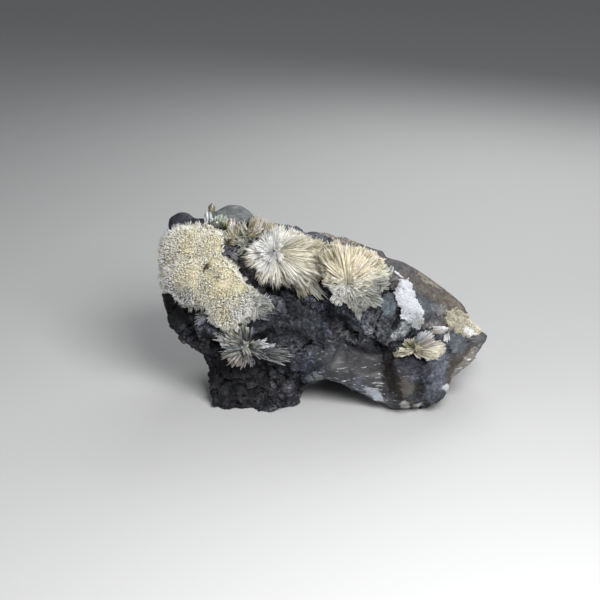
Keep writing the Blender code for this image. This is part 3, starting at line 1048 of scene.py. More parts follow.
    # where it is worn or waxy, and so smoother
    calm: tuple[Patch, ...] = (
        Patch((14, 3), (18, 11.5), -28),
        Patch((47, 10), (10, 13), -35),
        Patch((38, 37), (21, 11), -35),
        Patch((-48, 56.3), (8, 7)),
        Patch((-28.7, 60), (9, 5)),
        Patch((36, 8), (4, 13), -8),
        Patch((20, 28.8), (3, 4)),
        Patch((33, 27), (8, 4), -40),
        Patch((-3.3, 53), (13, 3.5), -8),
        Patch((7, 50), (9, 3.5), -16),
        Patch((22, 45), (11, 4), -24),
    )

    def build(self) -> bpy.types.Object:
        """The stone as one skin with relief and its own colours.

        Returns:
            The object, without its material.
        """
        thing = self.skin()
        points = read_points(thing.data)
        spots, front = self.look(thing.data, points)
        calm = np.zeros(len(points))
        for patch in self.calm:
            calm = np.maximum(calm, patch.share(spots) * front)
        self.smooth(thing, calm)
        self.roughen(thing, calm)
        self.colour(thing, spots, front)
        return thing

    def skin(self) -> bpy.types.Object:
        """An even skin over the stone's solid.

        Returns:
            The object that has it.
        """
        mesh = bpy.data.meshes.new("stone")
        bm = self.site.ground.bm.copy()
        bmesh.ops.scale(bm, vec=(MM,) * 3, verts=bm.verts)
        bm.to_mesh(mesh)
        bm.free()
        thing = bpy.data.objects.new("stone", mesh)
        bpy.context.scene.collection.objects.link(thing)
        remesh = thing.modifiers.new("skin", "REMESH")
        remesh.mode = "VOXEL"
        remesh.voxel_size = self.grid * MM
        graph = bpy.context.evaluated_depsgraph_get()
        even = bpy.data.meshes.new_from_object(thing.evaluated_get(graph))
        thing.modifiers.clear()
        thing.data = even
        even.name = "stone"
        bpy.data.meshes.remove(mesh)
        return thing

    @staticmethod
    def look(mesh: bpy.types.Mesh, points: np.ndarray) -> tuple[np.ndarray, np.ndarray]:
        """Where each corner is seen, and how far it is turned to the front, from 0 to 1.

        Args:
            mesh: the skin.
            points: its corners in millimetres.

        Returns:
            The seen places, one row each, and the shares.
        """
        normals = np.empty(len(mesh.vertices) * 3, np.float32)
        mesh.vertices.foreach_get("normal", normals)
        facing = -(normals.reshape(-1, 3) @ np.array(FRONT))
        return seen(points), wave((facing + 0.45) / 0.4)

    def smooth(self, thing: bpy.types.Object, calm: np.ndarray) -> None:
        """Round the worn and dissolved areas.

        Args:
            thing: the skin.
            calm: how calm each corner is, from 0 to 1.
        """
        bm = bmesh.new()
        bm.from_mesh(thing.data)
        bm.verts.ensure_lookup_table()
        wear_and_relief_shading = [bm.verts[k] for k in np.flatnonzero(calm > 0.5)]
        for _ in range(self.relax):
            bmesh.ops.smooth_vert(
                bm, verts=wear_and_relief_shading, factor=0.5, use_axis_x=True, use_axis_y=True, use_axis_z=True
            )
        bm.to_mesh(thing.data)
        bm.free()

    def roughen(self, thing: bpy.types.Object, calm: np.ndarray) -> None:
        """Break the surface into small tilted faces and grains, less where it is calm.

        Args:
            thing: the skin.
            calm: how calm each corner is, from 0 to 1.
        """
        mesh = thing.data
        points = read_points(mesh)
        normals = np.empty(len(points) * 3, np.float32)
        mesh.vertices.foreach_get("normal", normals)
        heights = np.array([self.relief(Vector(point)) for point in points])
        heights *= 1 - self.flatter * calm
        store_numbers(mesh, "height", heights)
        points += normals.reshape(-1, 3) * heights[:, None]
        points = np.clip(points, self.site.low * (1, 1, 0), self.site.high)
        mesh.vertices.foreach_set("co", (points * MM).astype(np.float32).ravel())
        mesh.update()

    def relief(self, point: Vector) -> float:
        """Height of the broken surface at a point, in millimetres.

        Args:
            point: a place in millimetres.

        Returns:
            The height over the smooth skin.
        """
        height = 0.0
        for size, slope in self.facet:
            place = point / size
            middle = noise.voronoi(place)[1][0]
            tilt = noise.cell_vector(middle * 9.7) - Vector((0.5, 0.5, 0.5))
            height += (place - middle).dot(tilt) * slope
        for size, rise in self.grain:
            height += noise.noise(point / size) * rise
        bent = point + bend(point / 2.5) * 0.9
        for size, width, depth in self.cracks:
            height -= depth * max(0.0, 1 - abs(noise.noise(bent / size)) / width)
        return height - self.sink

    def colour(self, thing: bpy.types.Object, spots: np.ndarray, front: np.ndarray) -> None:
        """Store the stone's colour, gloss and streaks by place.

        Args:
            thing: the skin.
            spots: where each corner is seen.
            front: how far it is turned to the front.
        """
        count = len(spots)
        points = read_points(thing.data)
        uneven = np.array([noise.fractal(Vector(p) / 2.4, 0.5, 2.1, 5) for p in points])
        cool = np.array([noise.noise(Vector(p) / 9.0) for p in points])[:, None]
        cooler = 1 + self.patchy * cool * np.array((1.3, 1.0, 0.6))
        colours = np.tile(np.array(self.base), (count, 1)) * cooler
        colours *= 1 + self.patchy * uneven[:, None]
        gloss = np.full(count, self.sheen)
        streaks = np.zeros(count)
        for tone in self.tones:
            share = tone.patch.share(spots, uneven * 0.5) * tone.strength * front
            colours += (np.array(tone.colour) - colours) * share[:, None]
            gloss += (tone.gloss - gloss) * share
            streaks += (tone.streaks - streaks) * share
        store_colours(thing.data, "ground", np.clip(colours, 0, 1))
        store_numbers(thing.data, "gloss", gloss)
        store_numbers(thing.data, "streaks", streaks)


def read_points(mesh: bpy.types.Mesh) -> np.ndarray:
    """The corners of a mesh, in millimetres, one row each.

    Args:
        mesh: in metres.

    Returns:
        Its corners, one row each.
    """
    points = np.empty(len(mesh.vertices) * 3, np.float32)
    mesh.vertices.foreach_get("co", points)
    return points.reshape(-1, 3).astype(float) / MM


@dataclass
class Spray:
    """Bursts of crystals that have grown together."""

    name: str
    node: str
    slot: str
    bursts: tuple[Burst, ...]
    stars: tuple[Star, ...]
    fans: tuple[Fan, ...]
    palette: Palette
    finish: CrystalFinish
    seed: int
    mat: Mat | None = None        # what covers the bursts that have no star of their own
    rim: Rim | None = None        # the outline that nothing of it passes
    rosettes: tuple[Rosette, ...] = ()
    hem: float = 1.5              # how far the solid middles stay inside the outline
    shaded: float = 0.55          # painted shade: brightness of those middles, as a share of the tips'
    stump: float = 0.6            # crystals shorter than this are left out
    seats: list[Seat] = field(default_factory=list)

    def settle(self, ground: Ground) -> None:
        """Find where each burst stands on the stone."""
        self.seats = [ground.seat(burst) for burst in self.bursts]

    def build(self, site: Site) -> bpy.types.Object:
        """Grow every crystal of the spray, as one mesh.

        Args:
            site: where it grows.

        Returns:
            The spray with its material.
        """
        dice = np.random.default_rng(self.seed)
        cluster = Cluster()
        for star in self.stars:
            spot, axis = site.ground.facing(star.across, star.up, star.spread)
            stems = radiate(spot - axis * star.sink, axis, star.growth, dice)
            self.reach_out(stems, site, star.growth, axis)
            self.plant(cluster, Crystal(star.growth.cut), stems, site, dice)
        fringe = Fringe().fans(self.rim, dice) if self.mat else []
        rays = [fan for rosette in self.rosettes for fan in rosette.fans(self.rim, dice)]
        for fan in (*self.fans, *fringe, *rays):
            stems = fan.stems(site.ground, dice)
            self.plant(cluster, Crystal(fan.cut), stems, site, dice, fan.colour)
        for burst, seat in zip(self.bursts, self.seats):
            if self.mat and burst.matted:
                self.carpet(cluster, burst, seat, site, dice)
            self.add_core(cluster, burst, seat, site, dice)
        thing = cluster.finish(self.name)
        thing.data.materials.append(self.finish.build())
        return thing

    def reach_out(self, stems: Stems, site: Site, growth: Growth, axis: Vector) -> None:
        """Make each crystal as long as the bursts of this spray go in its direction.

        Args:
            stems: whose lengths are shares until now.
            site: where they grow.
            growth: how they have grown.
            axis: the middle direction.
        """
        longest = np.zeros(len(stems.feet))
        for seat in self.seats:
            inside = leave_ball(stems.feet, stems.ways, seat)
            longest = np.maximum(longest, np.minimum(inside, site.room(stems.feet, stems.ways, seat)))
        rise = np.clip(stems.ways @ np.array(axis), 0, 1)
        longest *= 1 - (1 - growth.crown) * rise**2
        stems.lengths *= longest
        if self.rim:
            stems.lengths *= self.rim.fit(stems.feet, stems.tips())

    def carpet(
        self, cluster: Cluster, burst: Burst, seat: Seat, site: Site, dice: np.random.Generator
    ) -> None:
        """Cover one burst with needles.

        Args:
            cluster: what they are added to.
            burst: the burst.
            seat: where it has grown.
            site: where the spray grows.
            dice: where chance comes from.
        """
        mat = self.mat
        area = 4 * math.pi * seat.reach**2
        ways = even_ways(round(area / mat.spacing**2), 0.5, dice)
        ways = ways[ways @ np.array(seat.axis) > mat.lowest]
        tufts = even_ways(round(area / mat.tuft**2), 0.6, dice)
        lean = ways - tufts[np.argmax(ways @ tufts.T, axis=1)]
        off = np.linalg.norm(lean, axis=1) * seat.reach / mat.tuft
        start = self.middle(burst, seat, ways, site)
        feet = np.array(seat.centre) + ways * start[:, None]
        out = unit(ways + lean * mat.splay + dice.normal(0, mat.stray, ways.shape))
        thick = mat.height - burst.core - mat.lump * 3 * off**2 - dice.uniform(0, mat.ragged, len(ways))
        lengths = seat.reach * thick
        lengths = np.minimum(lengths, site.room(feet, out, seat) * dice.uniform(0.7, 1.1, len(ways)))
        widths = mat.width / 2 * dice.uniform(0.75, 1.25, len(ways))
        stems = Stems(feet, out, side_of(out, dice), lengths, widths, widths * 0.8)
        open_air = self.rim.holds(seen(stems.feet), 0.8)
        for other, its_seat in zip(self.bursts, self.seats):
            if other is not burst:
                gap = np.linalg.norm(stems.tips() - np.array(its_seat.centre), axis=1)
                open_air &= gap > other.core * its_seat.reach
        needle = Crystal(Cut.POINT, sides=3, shoulder=0.6)
        self.plant(cluster, needle, stems.kept(open_air), site, dice)

    def plant(
        self,
        cluster: Cluster,
        crystal: Crystal,
        stems: Stems,
        site: Site,
        dice: np.random.Generator,
        colour: Colour | None = None,
    ) -> None:
        """Add the crystals that have room inside the piece's own box.

        Args:
            cluster: what they are added to.
            crystal: their shape.
            stems: where they stand.
            site: what they must keep inside.
            dice: where chance comes from.
            colour: their own colour, or None for that of the place.
        """
        free = site.box_room(stems.feet, stems.ways)
        cut_back = free * dice.uniform(0.55, 1, len(free))
        stems.lengths = np.where(free < stems.lengths, cut_back, stems.lengths)
        stems = stems.kept(stems.lengths > self.stump)
        if len(stems.feet):
            palette = Palette(colour, (), self.palette.spread) if colour else self.palette
            cluster.stand(crystal, stems, palette.tints(stems.tips(), dice))

    def middle(self, burst: Burst, seat: Seat, ways: np.ndarray, site: Site) -> np.ndarray:
        """How far the solid middle of a burst goes in each direction.

        Args:
            burst: whose middle it is.
            seat: where the burst has grown.
            ways: the directions, one row each.
            site: what it must keep clear of.

        Returns:
            A distance from the burst's centre for each direction.
        """
        centres = np.tile(np.array(seat.centre), (len(ways), 1))
        rise = np.abs(ways @ np.array(seat.axis))
        size = burst.core * seat.reach * (1 - (1 - burst.flat) * rise)
        size = np.minimum(size, site.room(centres, ways, seat) - site.slack)
        size = np.minimum(size, site.box_room(centres, ways) - self.hem)
        size = np.clip(size, 0.3, None)
        if self.rim:
            size *= self.rim.fit(centres, centres + ways * size[:, None], self.hem)
        return size

    def add_core(
        self, cluster: Cluster, burst: Burst, seat: Seat, site: Site, dice: np.random.Generator
    ) -> None:
        """Add the solid middle that the crystals stand in, darker than their tips as painted shade between
        them.

        Args:
            cluster: what it is added to.
            burst: the burst.
            seat: where it has grown.
            site: where the spray grows.
            dice: where chance comes from.
        """
        bm = bmesh.new()
        bmesh.ops.create_icosphere(bm, subdivisions=4, radius=1)
        ways = unit(np.array([vert.co for vert in bm.verts]))
        faces = [[vert.index for vert in face.verts] for face in bm.faces]
        bm.free()
        size = self.middle(burst, seat, ways, site) * dice.uniform(0.94, 1.0, len(ways))
        points = np.array(seat.centre) + ways * size[:, None]
        # painted shade: the middles are darkened
        tints = self.palette.tints(points, dice) * self.shaded
        cluster.add(points[None], faces, tints, np.full(len(ways), 0.5))


def radiate(centre: Vector, axis: Vector, growth: Growth, dice: np.random.Generator) -> Stems:
    """Bundles of crystals that radiate from one centre.

    Args:
        centre: what they point away from, in millimetres.
        axis: the middle direction.
        growth: how they have grown.
        dice: where chance comes from.

    Returns:
        A stem for each crystal, whose length is a share of the room that it has.
    """
    ways = even_ways(growth.bundles, growth.uneven, dice)
    rise = ways @ np.array(axis)
    ways = ways[(rise > growth.lowest) & (rise < growth.steepest)]
    each = growth.crystals
    offset = np.tile(np.linspace(-1, 1, each) if each > 1 else np.zeros(1), len(ways))
    share = np.repeat(1 - dice.uniform(0, growth.ragged, len(ways)), each)
    flat = unit(np.cross(ways, np.array(axis)) + dice.normal(0, growth.twist, ways.shape))
    sides = np.repeat(unit(flat - ways * np.sum(flat * ways, axis=1, keepdims=True)), each, axis=0)
    middle = np.repeat(ways, each, axis=0)
    count = len(middle)
    fanned = middle + sides * (offset * growth.fan)[:, None]
    out = unit(fanned + dice.normal(0, growth.stray, (count, 3)))
    step = offset * growth.width * (each - 1) * 0.4
    feet = np.array(centre) + middle * growth.start + sides * step[:, None]
    lengths = share * (1 - 0.1 * offset**2 - dice.uniform(0, 0.14, count))
    sides = unit(sides - out * np.sum(sides * out, axis=1, keepdims=True))
    widths = growth.width / 2 * dice.uniform(0.85, 1.35, count)
    return Stems(feet, out, sides, lengths, widths, widths * dice.uniform(0.5, 0.9, count))


def leave_ball(feet: np.ndarray, ways: np.ndarray, seat: Seat) -> np.ndarray:
    """How far each crystal goes before it leaves a burst's ball, or 0 where it misses the ball.

    Args:
        feet: where the crystals stand.
        ways: where they point.
        seat: the burst's seat.

    Returns:
        A length for each crystal.
    """
    off = feet - np.array(seat.centre)
    along = np.sum(off * ways, axis=1)
    inner = along**2 - np.sum(off * off, axis=1) + seat.reach**2
    far = -along + np.sqrt(np.clip(inner, 0, None))
    return np.where((inner > 0) & (far > 0), far, 0.0)


@dataclass
class Crust:
    """Grains that cover the stone inside an outline on its front."""

    name: str
    node: str
    slot: str
    rim: Rim
    count: int
    grain: Range                  # shortest and longest grains
    width: float
    palette: Palette
    finish: CrystalFinish
    seed: int
    uneven: float = 1.1           # how far grains stray over the outline
    root: float = 0.3             # how deep they start in the stone
    lean: float = 0.45            # how far they lean
    shortest: float = 0.35        # added to every length

    def build(self, site: Site) -> bpy.types.Object:
        """Set every grain on the stone.

        Args:
            site: where it grows.

        Returns:
            The crust with its material.
        """
        dice = np.random.default_rng(self.seed)
        corners = np.array(self.rim.points)
        feet, ways = [], []
        while len(feet) < self.count:
            spot = dice.uniform(corners.min(axis=0), corners.max(axis=0))
            stray = bend(Vector((*spot, 0)) * 0.7)
            if not self.rim.holds(spot[None] + np.array(stray.xy) * self.uneven)[0]:
                continue
            found = site.ground.hit(*spot)
            if found:
                feet.append(found[0] - found[1] * self.root)
                ways.append(found[1])
        feet, ways = np.array(feet), np.array(ways)
        heap = np.array([0.5 + 0.9 * noise.noise(Vector(foot) * 0.8) for foot in feet]).clip(0.1, None)
        ways = unit(ways + dice.normal(0, self.lean, ways.shape))
        lengths = dice.uniform(*self.grain, len(feet)) * (0.6 + heap) + self.shortest
        widths = self.width / 2 * dice.uniform(0.6, 1.4, len(feet))
        sides = side_of(ways, dice)
        stems = Stems(feet, ways, sides, lengths, widths, widths * dice.uniform(0.6, 1.0, len(feet)))
        inside = np.all((stems.tips() > site.low) & (stems.tips() < site.high), axis=1)
        stems = stems.kept(inside)
        cluster = Cluster()
        grain = Crystal(Cut.BLUNT, sides=3, foot=0.9, shoulder=0.65)
        cluster.stand(grain, stems, self.palette.tints(stems.tips(), dice))
        thing = cluster.finish(self.name)
        thing.data.materials.append(self.finish.build())
        return thing


CREAM = shade(212, 203, 175)
VELVET = shade(242, 231, 194)
WARM_CREAM = shade(232, 222, 190)
PALE_CREAM = shade(224, 219, 203)
WHITE = shade(226, 224, 218)
SILVER = shade(176, 180, 182)
GLASS = shade(205, 206, 206)
OLIVE = shade(158, 153, 124)
DARK_OLIVE = shade(122, 116, 92)
GREY_OLIVE = shade(146, 146, 134)
SLATE_GREY = shade(108, 110, 112)
PEACH = shade(242, 223, 184)
PINK_GREY = shade(178, 168, 158)
YELLOW = shade(196, 184, 146)
BEIGE = shade(222, 213, 196)
DULL_YELLOW = shade(172, 161, 134)
ASH = shade(138, 137, 132)
ROSY = shade(138, 131, 127)
DIM = shade(96, 97, 98)
BLUNT = Cut.BLUNT
CHISEL = Cut.CHISEL

LEFT_RIM = Rim(
    (
        (-54.3, 50.3), (-51.0, 52.7), (-47.7, 54.3), (-44.3, 54.7), (-40.0, 54.3),
        (-35.7, 53.7), (-32.7, 52.0), (-32.3, 48.7), (-34.0, 47.7), (-33.0, 45.7),
        (-31.0, 43.7), (-29.0, 41.0), (-26.7, 38.0), (-25.3, 35.3), (-21.0, 32.7),
        (-17.7, 30.0), (-16.3, 27.7), (-21.0, 25.3), (-25.0, 24.7), (-28.3, 22.0),
        (-31.3, 20.0), (-34.0, 22.0), (-36.0, 24.7), (-38.3, 27.7), (-41.7, 28.0),
        (-46.7, 29.0), (-50.0, 32.3), (-53.3, 33.7), (-55.3, 36.7), (-56.0, 40.3),
        (-55.7, 44.3), (-55.0, 47.3),
    )
)
CENTRE_RIM = Rim(
    (
        (-28.7, 44.7), (-27.0, 41.7), (-25.0, 38.7), (-22.7, 35.7), (-19.7, 34.0),
        (-16.0, 32.7), (-13.3, 33.7), (-11.0, 32.7), (-6.7, 32.0), (-4.0, 33.3), (0.3, 31.3),
        (1.7, 29.7), (1.0, 34.3), (0.3, 38.7), (0.0, 43.0), (0.0, 47.0), (-1.7, 50.0),
        (-7.7, 52.7), (-13.3, 55.3), (-17.7, 55.7), (-21.0, 53.7), (-24.3, 50.3),
        (-27.0, 47.3),
    )
)
RIGHT_RIM = Rim(
    (
        (-2.0, 48.7), (1.7, 50.0), (5.0, 49.7), (9.0, 48.3), (13.7, 48.0), (16.3, 46.0),
        (18.7, 45.0), (19.3, 43.0), (22.0, 42.7), (22.7, 40.0), (20.3, 37.7), (19.3, 33.7),
        (18.3, 30.7), (15.7, 29.3), (14.0, 27.7), (11.7, 25.7), (11.0, 22.7), (9.7, 25.0),
        (8.7, 27.7), (6.3, 29.0), (3.0, 30.7), (1.3, 33.0), (-0.7, 36.0), (-2.3, 39.7),
        (-2.3, 44.7),
    )
)
WHITE_RIM = Rim(
    (
        (24.3, 36.7), (26.7, 37.0), (27.7, 35.0), (28.3, 31.7), (29.3, 29.3), (31.0, 27.3),
        (31.3, 23.3), (30.0, 21.0), (28.0, 21.7), (26.3, 23.7), (24.7, 24.3), (24.3, 27.7),
        (23.3, 30.3), (22.3, 32.7), (23.3, 35.0),
    )
)
TIP_RIM = Rim(
    (
        (40.3, 26.3), (43.0, 27.6), (45.7, 26.4), (48.3, 25.1), (50.3, 23.8), (52.3, 21.3),
        (51.7, 19.3), (49.0, 18.8), (47.0, 17.8), (45.2, 19.4), (43.3, 19.3), (41.4, 21.2),
        (40.0, 23.7),
    )
)

NEEDLES = Growth(bundles=1500, crystals=4, width=0.3, crown=0.5, ragged=0.5, lowest=-0.2, steepest=0.93)
FLAT_NEEDLES = Growth(bundles=1300, crystals=4, width=0.3, crown=0.3, ragged=0.5, lowest=-0.2, steepest=0.93)
SIDE_NEEDLES = Growth(bundles=520, crystals=4, width=0.32, crown=0.7, ragged=0.5, lowest=-0.1)
HEART = Growth(bundles=320, crystals=3, width=0.26, crown=0.42, ragged=0.4, lowest=0.55, start=0.6)
COARSE = Growth(bundles=50, crystals=4, width=0.34, ragged=0.6, cut=CHISEL)
# Width of a blade, how ragged its fan is, and how the blade ends
BLADES = ((0.32, 0.55, BLUNT), (0.5, 0.6, BLUNT), (0.4, 0.6, CHISEL))


def blades(rows: tuple[tuple, ...], first: int = 0) -> tuple[Fan, ...]:
    """Fans of thin, broad and slanted blades by turns.

    Args:
        rows: foot, tip, half width at the tips, colour and rise of each fan.
        first: which of the three kinds the first fan has.

    Returns:
        The fans.
    """
    made = []
    for k, (foot, tip, wide, colour, rise) in enumerate(rows, first):
        width, ragged, cut = BLADES[k % len(BLADES)]
        made.append(
            Fan(foot, tip, 0.5, wide, colour, rise, width=width, ragged=ragged, cut=cut, stray=0.4)
        )
    return tuple(made)


def tatters(rows: tuple[tuple, ...]) -> tuple[Fan, ...]:
    """Ragged fans, from rows as for blades.

    Args:
        rows: foot, tip, half width at the tips, colour and rise of each fan.

    Returns:
        The fans.
    """
    return tuple(
        Fan(foot, tip, 0.6, wide, colour, rise, width=0.4, layers=2, ragged=0.7, stray=0.6)
        for foot, tip, wide, colour, rise in rows
    )


def slabs(rows: tuple[tuple, ...]) -> tuple[Fan, ...]:
    """Fans of broad blunt blades in one layer.

    Args:
        rows: as for blades, and then the width of one blade and how ragged the fan is.

    Returns:
        The fans.
    """
    return tuple(
        Fan(foot, tip, 0.6, wide, colour, rise, width=width, layers=1, ragged=ragged, cut=BLUNT, stray=0.3)
        for foot, tip, wide, colour, rise, width, ragged in rows
    )


